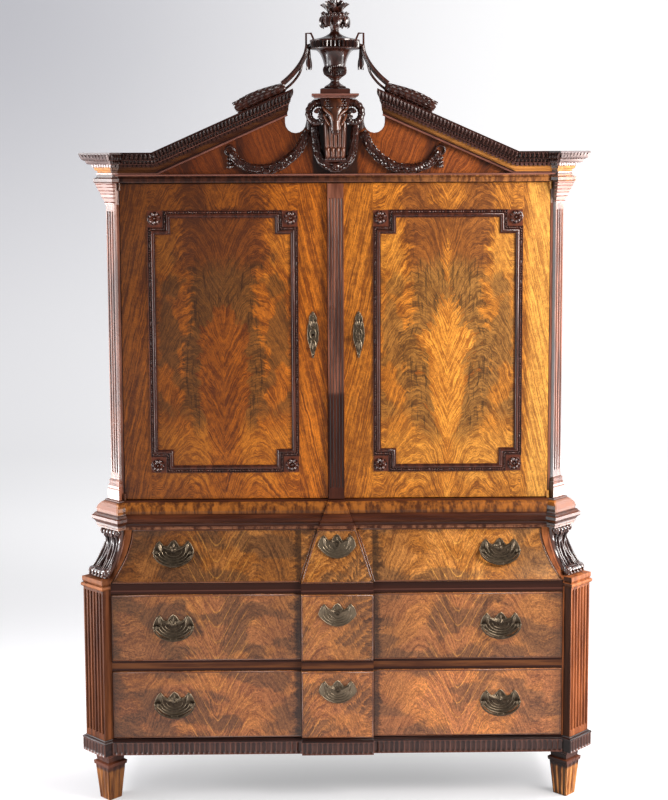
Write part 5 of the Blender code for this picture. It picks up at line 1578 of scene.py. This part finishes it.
def laurel(carving, path, radii, turn_at, pitch=0.0095, out=OUT, long=0.026, wide=0.0135, seed=1):
    """Bundles of leaves along a line, which turn to point at the share turn_at from both ends."""
    dice = random.Random(seed)
    samples = [curve(path, i / 48) for i in range(49)]
    carving.tube(samples, [max(radii) * 0.62] * 49, out, 8)
    for place, ahead, share in walk(samples, pitch):
        i = min(int(share * (len(radii) - 1)), len(radii) - 2)
        radius = blend(radii[i], radii[i + 1], share * (len(radii) - 1) - i)
        way = ahead if share < turn_at else -ahead
        side = ahead.cross(out).normalized()
        for angle in (-78, -30, 22, 70):
            swing = math.radians(angle + dice.uniform(-12, 12))
            face = (out * math.cos(swing) + side * math.sin(swing)).normalized()
            root = place + face * (radius * 0.55) - way * (long * 0.35)
            tip = root + way * (long * dice.uniform(0.85, 1.1)) + face * (radius * dice.uniform(0.35, 0.62))
            carving.leaf(root, tip, face, wide * dice.uniform(0.85, 1.1), 0.14, 0.22)


# Distance from the middle and height over the cornice
FESTOON = ((0.352, 0.0), (0.335, -0.026), (0.3, -0.049), (0.255, -0.058), (0.205, -0.052), (0.16, -0.026),
           (0.12, 0.014), (0.096, 0.066))
RING_X = 0.358
RING_UP = 0.0045
RING_RADIUS = 0.0155
# Height under the ring and size of the leaves
TASSEL = ((-0.014, 0.016), (-0.027, 0.017), (-0.04, 0.018))


def festoon(name, sign):
    """A swag of laurel that hangs from a ring, and the tassel under the ring."""
    carving = Carving()
    level = lambda x, up, out: Vector((sign * x, CABINET_FRONT - out, CORNICE_TOP + up))
    path = [level(x, up, 0.0125) for x, up in FESTOON]
    laurel(carving, path, [0.008, 0.011, 0.013, 0.014, 0.0145, 0.014, 0.013, 0.011], 0.42, seed=3)
    ring = [level(RING_X + RING_RADIUS * a, RING_UP + RING_RADIUS * b, 0.0065) for a, b in around(24)]
    carving.tube(ring, 0.0042, OUT, 8, closed=True)
    carving.bead(level(RING_X, RING_UP + 0.018, 0.003), 0.0058, OUT, 1.0)
    for up, size in TASSEL:
        for lean in (-1, 0, 1):
            root = level(RING_X + lean * 0.002, up, 0.007)
            tip = level(RING_X + lean * size * 0.55, up - size * (1.05 - 0.15 * abs(lean)),
                        0.008 + 0.002 * (lean == 0))
            carving.leaf(root, tip, OUT, 0.009, 0.16, 0.3)
    carving.make("festoon_carving_" + name, "case", "carving", ["festoon_" + name], sharp=60)


def wreath():
    """The laurel that hangs in a U under the ram's head."""
    carving = Carving()
    half = ((0.07, 0.016, -0.088), (0.066, 0.014, -0.13), (0.059, 0.013, -0.175), (0.042, 0.016, -0.212))
    path = spots(half, -1) + [spot(0.0, 0.02, -0.231)] + spots(half[::-1])
    laurel(carving, path, [0.008, 0.01, 0.0115, 0.0125, 0.013, 0.0125, 0.0115, 0.01, 0.008], 0.5, seed=8)
    carving.make("ram_wreath", "case", "carving", sharp=60)


URN_AT = (0.0, CABINET_FRONT - 0.0305)
URN_LOW = ABACUS[1] + 0.0003
# Height over the foot's underside, radius and the share by which the flutes cut in
URN_LEVELS = ((0.0246, 0.034, 0.0), (0.029, 0.03, 0.0), (0.033, 0.022, 0.0), (0.04, 0.015, 0.0),
              (0.046, 0.0145, 0.0), (0.05, 0.0185, 0.0), (0.0535, 0.023, 0.0), (0.056, 0.024, 0.0),
              (0.059, 0.029, 0.1), (0.065, 0.037, 0.14), (0.074, 0.0405, 0.16), (0.0815, 0.0412, 0.15),
              (0.0875, 0.0395, 0.12), (0.091, 0.0375, 0.04), (0.0935, 0.0362, 0.0), (0.099, 0.0372, 0.0),
              (0.107, 0.0392, 0.0), (0.114, 0.0412, 0.0), (0.121, 0.044, 0.0), (0.128, 0.0472, 0.0),
              (0.135, 0.0515, 0.0), (0.141, 0.0565, 0.0), (0.145, 0.061, 0.0), (0.1475, 0.066, 0.0),
              (0.149, 0.083, 0.0), (0.15, 0.0842, 0.0), (0.152, 0.0847, 0.0), (0.1535, 0.083, 0.0),
              (0.155, 0.0825, 0.08), (0.162, 0.0838, 0.1), (0.17, 0.084, 0.1), (0.174, 0.083, 0.06),
              (0.1755, 0.0847, 0.0), (0.1795, 0.0845, 0.0), (0.181, 0.079, 0.0), (0.184, 0.062, 0.0),
              (0.188, 0.045, 0.0), (0.194, 0.03, 0.0), (0.201, 0.019, 0.0), (0.208, 0.014, 0.0),
              (0.211, 0.015, 0.0), (0.2145, 0.012, 0.0))
URN_FOOT = ((0.0, 0.05), (0.015, 0.05), (0.0175, 0.046), (0.0195, 0.037), (0.025, 0.034))
KEY_BAR = 0.0048
# Height at the root and the tip, lean, number and width of the leaves
FLOWER_RINGS = ((2.668, 2.728, 0.041, 7, 0.03), (2.69, 2.755, 0.04, 8, 0.031), (2.7, 2.7655, 0.024, 7, 0.028),
                (2.705, 2.7665, 0.007, 4, 0.024))


def urn_handle(carving, sign):
    """A handle of square bars with a tassel."""
    bar = lambda x, up: Vector((sign * x, URN_AT[1], ABACUS[1] + up))
    carving.tube([bar(0.0965, 0.158), bar(0.0965, 0.2025), bar(0.08, 0.2025), bar(0.0705, 0.1805)], KEY_BAR,
                 OUT, 4)
    carving.tube([bar(0.08, 0.166), bar(0.0975, 0.161)], KEY_BAR, OUT, 4)
    drop = ((0.0885, 0.16), (0.088, 0.135), (0.0875, 0.11), (0.087, 0.092), (0.0865, 0.082))
    carving.tube([bar(x, up) for x, up in drop], [0.006, 0.0072, 0.008, 0.0085, 0.0035], OUT, 8)
    for a, b in around(6):
        way = Vector((a, b, 0.0))
        carving.leaf(bar(0.0878, 0.128) + way * 0.003, bar(0.087, 0.08) + way * 0.0075, way, 0.0075, 0.06,
                     0.3)


def urn_flowers(carving):
    """Rings of leaves that lean outwards, with strings of berries over them."""
    centre = Vector((*URN_AT, 0.0))
    dice = random.Random(6)
    for low, high, lean, count, wide in FLOWER_RINGS:
        for k in range(count):
            turn = 2 * math.pi * (k + dice.uniform(-0.15, 0.15)) / count + low * 40
            way = Vector((math.cos(turn), math.sin(turn), 0.0))
            root = centre + way * 0.007 + UP * low
            tip = centre + way * (lean + 0.002) + UP * (high - dice.uniform(0.0, 0.005))
            carving.leaf(root, tip, (way * 1.0 - UP * 0.5).normalized(), wide, -0.16, 0.3, 7)
    for a, b in around(8, 0.25):
        way = Vector((a, b, 0.0))
        side = UP.cross(way)
        for i in range(4):
            share = i / 3
            reach = 0.026 + 0.016 * math.sin(math.pi * (0.25 + 0.5 * share))
            at = centre + way * reach + UP * (2.713 - 0.032 * share)
            for lean in (-0.007, 0.007):
                carving.bead(at + side * (lean * (1.2 - share)), 0.0082 - 0.0014 * share, way, 0.9)
        carving.leaf(centre + way * 0.018 + UP * 2.716, centre + way * 0.046 + UP * 2.671, way, 0.034, 0.3,
                     0.2)
    carving.tube([centre + UP * z for z in (2.66, 2.69, 2.72, 2.75)], [0.011, 0.024, 0.02, 0.008], OUT, 10)


def urn():
    """A fluted urn on a square foot, with handles and a finial of leaves and berries."""
    carving = Carving()
    box_rings(carving, [(URN_LOW + up, half, half) for up, half in URN_FOOT], URN_AT[1])
    carving.turned([(URN_LOW + up, radius, cut) for up, radius, cut in URN_LEVELS], URN_AT, 216, 36)
    for sign in (-1, 1):
        urn_handle(carving, sign)
    urn_flowers(carving)
    carving.make("urn_carving", "case", "carving", ["urn"], sharp=50)


GARLAND_Y = URN_AT[1] - 0.012
# Distance from the middle and height over the abacus
GARLAND_HANGS = ((0.0925, 0.161), (0.0985, 0.1335), (0.118, 0.0965), (0.148, 0.0605), (0.178, 0.034))
GARLAND_LOOP = ((0.111, 0.098), (0.119, 0.07), (0.142, 0.039), (0.17, 0.0155), (0.185, 0.008))
GARLAND_END = 0.334
GARLAND_BUNDLES = 15
BUNDLE_LEAVES = 9
CORE_STEPS = 8


def rake_z(x):
    return CORNICE_TOP + max(RAKE_START - x, 0.0) * RAKE_RISE


def swelling(share):
    """How thick the garland is on the slope of the cornice, from its first leaf to its last."""
    return math.sin(math.pi * min(share * 0.62 + 0.12, 1.0))


def garland_strand(carving, at):
    """The part that hangs from the urn, with a thin loop beside it."""
    strand = [at(x, ABACUS[1] + up) for x, up in GARLAND_HANGS]
    samples = [curve(strand, i / 20) for i in range(21)]
    carving.tube(samples, [blend(0.0082, 0.0098, i / 20) for i in range(21)], OUT, 8, 0.75)
    carving.tube([point + OUT * 0.006 for point in samples],
                 [blend(0.003, 0.0045, i / 20) for i in range(21)], OUT, 6)
    loop = [at(x, ABACUS[1] + up) for x, up in GARLAND_LOOP]
    carving.tube([curve(loop, i / 14) for i in range(15)], 0.0048, OUT, 6)


def garland(name, sign):
    """A strand from the urn's handle, and bundles of leaves that rest on the slope of the cornice."""
    carving = Carving()
    at = lambda x, z: Vector((sign * x, GARLAND_Y, z))
    garland_strand(carving, at)
    ahead = Vector((sign, 0.0, -RAKE_RISE)).normalized()
    lift = (UP - ahead * ahead.z).normalized()
    dice = random.Random(9)
    for i in range(GARLAND_BUNDLES):
        share = i / (GARLAND_BUNDLES - 1)
        x = blend(0.172, GARLAND_END - 0.026, share)
        radius = 0.0135 + 0.01 * swelling(share)
        rest = at(x, rake_z(x)) + lift * (radius * 0.96)
        for k in range(BUNDLE_LEAVES):
            swing = 2 * math.pi * (k + 0.5 * (i % 2)) / BUNDLE_LEAVES
            face = (lift * math.sin(swing) + OUT * math.cos(swing)).normalized()
            root = rest + face * (radius * 0.45) - ahead * 0.012
            tip = root + ahead * dice.uniform(0.03, 0.038) + face * (radius * 0.4)
            clear = (tip - at(tip.x * sign, rake_z(abs(tip.x)))).dot(lift)
            if clear < 0.0:
                tip = tip - lift * clear
            carving.leaf(root, tip, face, dice.uniform(0.013, 0.017), 0.12, 0.22)
    core, radii = [], []
    for i in range(CORE_STEPS + 1):
        share = i / CORE_STEPS
        x = blend(0.165, GARLAND_END - 0.004, share)
        radius = 0.0125 + 0.0085 * swelling(share)
        core.append(at(x, rake_z(x)) + lift * radius)
        radii.append(radius * (0.35 if i == CORE_STEPS else 1.0))
    carving.tube(core, radii, OUT, 10)
    carving.make("garland_carving_" + name, "case", "carving", ["garland_" + name], sharp=60)


# Consoles
CONSOLE_LOW, CONSOLE_HIGH = heights("console_right")
CONSOLE_HALF = 0.043
# Share of the height and how far the console stands out there
CONSOLE_PROUD = ((0.0, 0.03), (0.06, 0.037), (0.13, 0.036), (0.21, 0.027), (0.35, 0.017), (0.53, 0.013),
                 (0.68, 0.015), (0.79, 0.024), (0.86, 0.036), (1.0, 0.036))
# Place across at the top and at the foot, and radius. The last two cross over the others
STRANDS = (
    (-0.03, -0.043, 0.0042), (-0.018, -0.028, 0.0048), (-0.008, -0.01, 0.005), (0.002, 0.01, 0.0052),
    (0.012, 0.027, 0.0048), (0.023, 0.041, 0.0044), (-0.024, 0.018, 0.0036), (0.018, -0.02, 0.0036),
)
UNDER_STRANDS = 6
# Share of the height, reach and radius
SCROLLS = ((0.105, 0.048, 0.015), (0.925, 0.047, 0.011))
# Share of the reach and thickness
SCROLL = ((-1.0, 0.8), (-0.94, 1.0), (-0.5, 0.94), (0.0, 0.98), (0.5, 0.94), (0.94, 1.0), (1.0, 0.8))
SCROLL_RIBS = 5
RIB_TURNS = (-1.1, -0.5, 0.1, 0.7, 1.3)
RIB_RADII = (0.002, 0.0036, 0.004, 0.0036, 0.002)


def cant_place(z, across, proud, sign):
    """A place over the canted corner beside the upper drawer."""
    share = drawer_share(z)
    side = CHEST_SIDE - 0.057 * share
    front = CHEST_FRONT + 0.05 * share
    cant = blend(CHEST_CANT, 0.0735, share)
    x = side - cant / 2 + SLANT * (across + proud)
    y = front + cant / 2 + SLANT * (across - proud)
    return Vector((sign * x, y, z))


def console_proud(share):
    for (low, first), (high, second) in zip(CONSOLE_PROUD, CONSOLE_PROUD[1:]):
        if share <= high:
            return blend(first, second, (share - low) / (high - low))
    return CONSOLE_PROUD[-1][1]


def console_strand(carving, k, sign, out):
    """A long curved leaf that sweeps down and outwards."""
    top, foot, radius = STRANDS[k]
    path, radii = [], []
    for i in range(21):
        share = 0.1 + 0.8 * i / 20
        ease = share * share * (3 - 2 * share)
        across = blend(foot, top, ease) + 0.008 * math.sin(math.pi * share)
        proud = console_proud(share) * (0.8 if k < UNDER_STRANDS else 1.0)
        proud += 0.002 * math.sin(share * 7 + k * 2.1)
        z = blend(CONSOLE_LOW, CONSOLE_HIGH, share)
        path.append(cant_place(z, across, proud - radius * 0.4, sign))
        radii.append(radius * (0.65 + 0.55 * math.sin(math.pi * min(1.0, share * 1.1))))
    carving.tube(path, radii, out, 8)


def console_scroll(carving, share, reach, radius, sign, out):
    """A roll with an eye at each end and ribs round it."""
    z = blend(CONSOLE_LOW, CONSOLE_HIGH, share)
    proud = console_proud(share) - radius - 0.001
    path = [cant_place(z, reach * across, proud, sign) for across, _ in SCROLL]
    carving.tube(path, [radius * thick for _, thick in SCROLL], UP, 14)
    for end in (-1, 1):
        eye = cant_place(z, end * reach, proud, sign)
        carving.bead(eye, radius * 0.45, Vector((sign * SLANT * end, SLANT * end, 0.0)), 0.5, 1.0, UP, 10)
    for k in range(SCROLL_RIBS):
        across = (k - SCROLL_RIBS // 2) * 0.018
        rib = [cant_place(z + radius * math.sin(turn) * 0.99, across, proud + radius * math.cos(turn) * 1.02,
                          sign)
               for turn in RIB_TURNS]
        carving.tube(rib, list(RIB_RADII), out, 6)


def console(name, sign):
    """Strands between two scrolls, over a plain ground."""
    carving = Carving()
    out = Vector((sign * SLANT, -SLANT, 0.0))
    for k in range(len(STRANDS)):
        console_strand(carving, k, sign, out)
    for share, reach, radius in SCROLLS:
        console_scroll(carving, share, reach, radius, sign, out)
    ground = []
    for i in range(9):
        share = i / 8
        z = blend(CONSOLE_LOW, CONSOLE_HIGH, share)
        proud = max(console_proud(share) * 0.4, 0.0035)
        ground.append([cant_place(z, a * CONSOLE_HALF, b * proud + 0.0014, sign)
                       for a, b in ((-1, 0), (-0.9, 1), (0.9, 1), (1, 0))])
    carving.skin(ground, wrap=True, caps=True)
    carving.make("console_carving_" + name, "case", "strand", ["console_" + name], sharp=55)


make_camera()
make_stage()
make_lights()
dress_nodes()
for side, sign in SIDES:
    door_panel(side, sign)
    door_mounts(side)
    cornice_rows(side, sign)
    capital(side, sign)
    festoon(side, sign)
    garland(side, sign)
    console(side, sign)
ram_head()
wreath()
urn()
plinth()
for side in ("front_left", "front_right", "back_left", "back_right"):
    foot_flutes("foot_" + side)
for name in DRAWER_SPANS:
    drawer_beads(name)
    drawer_mounts(name)
    for side, sign in SIDES:
        bail(name, side, sign)
bpy.context.scene.view_settings.view_transform = "Standard"
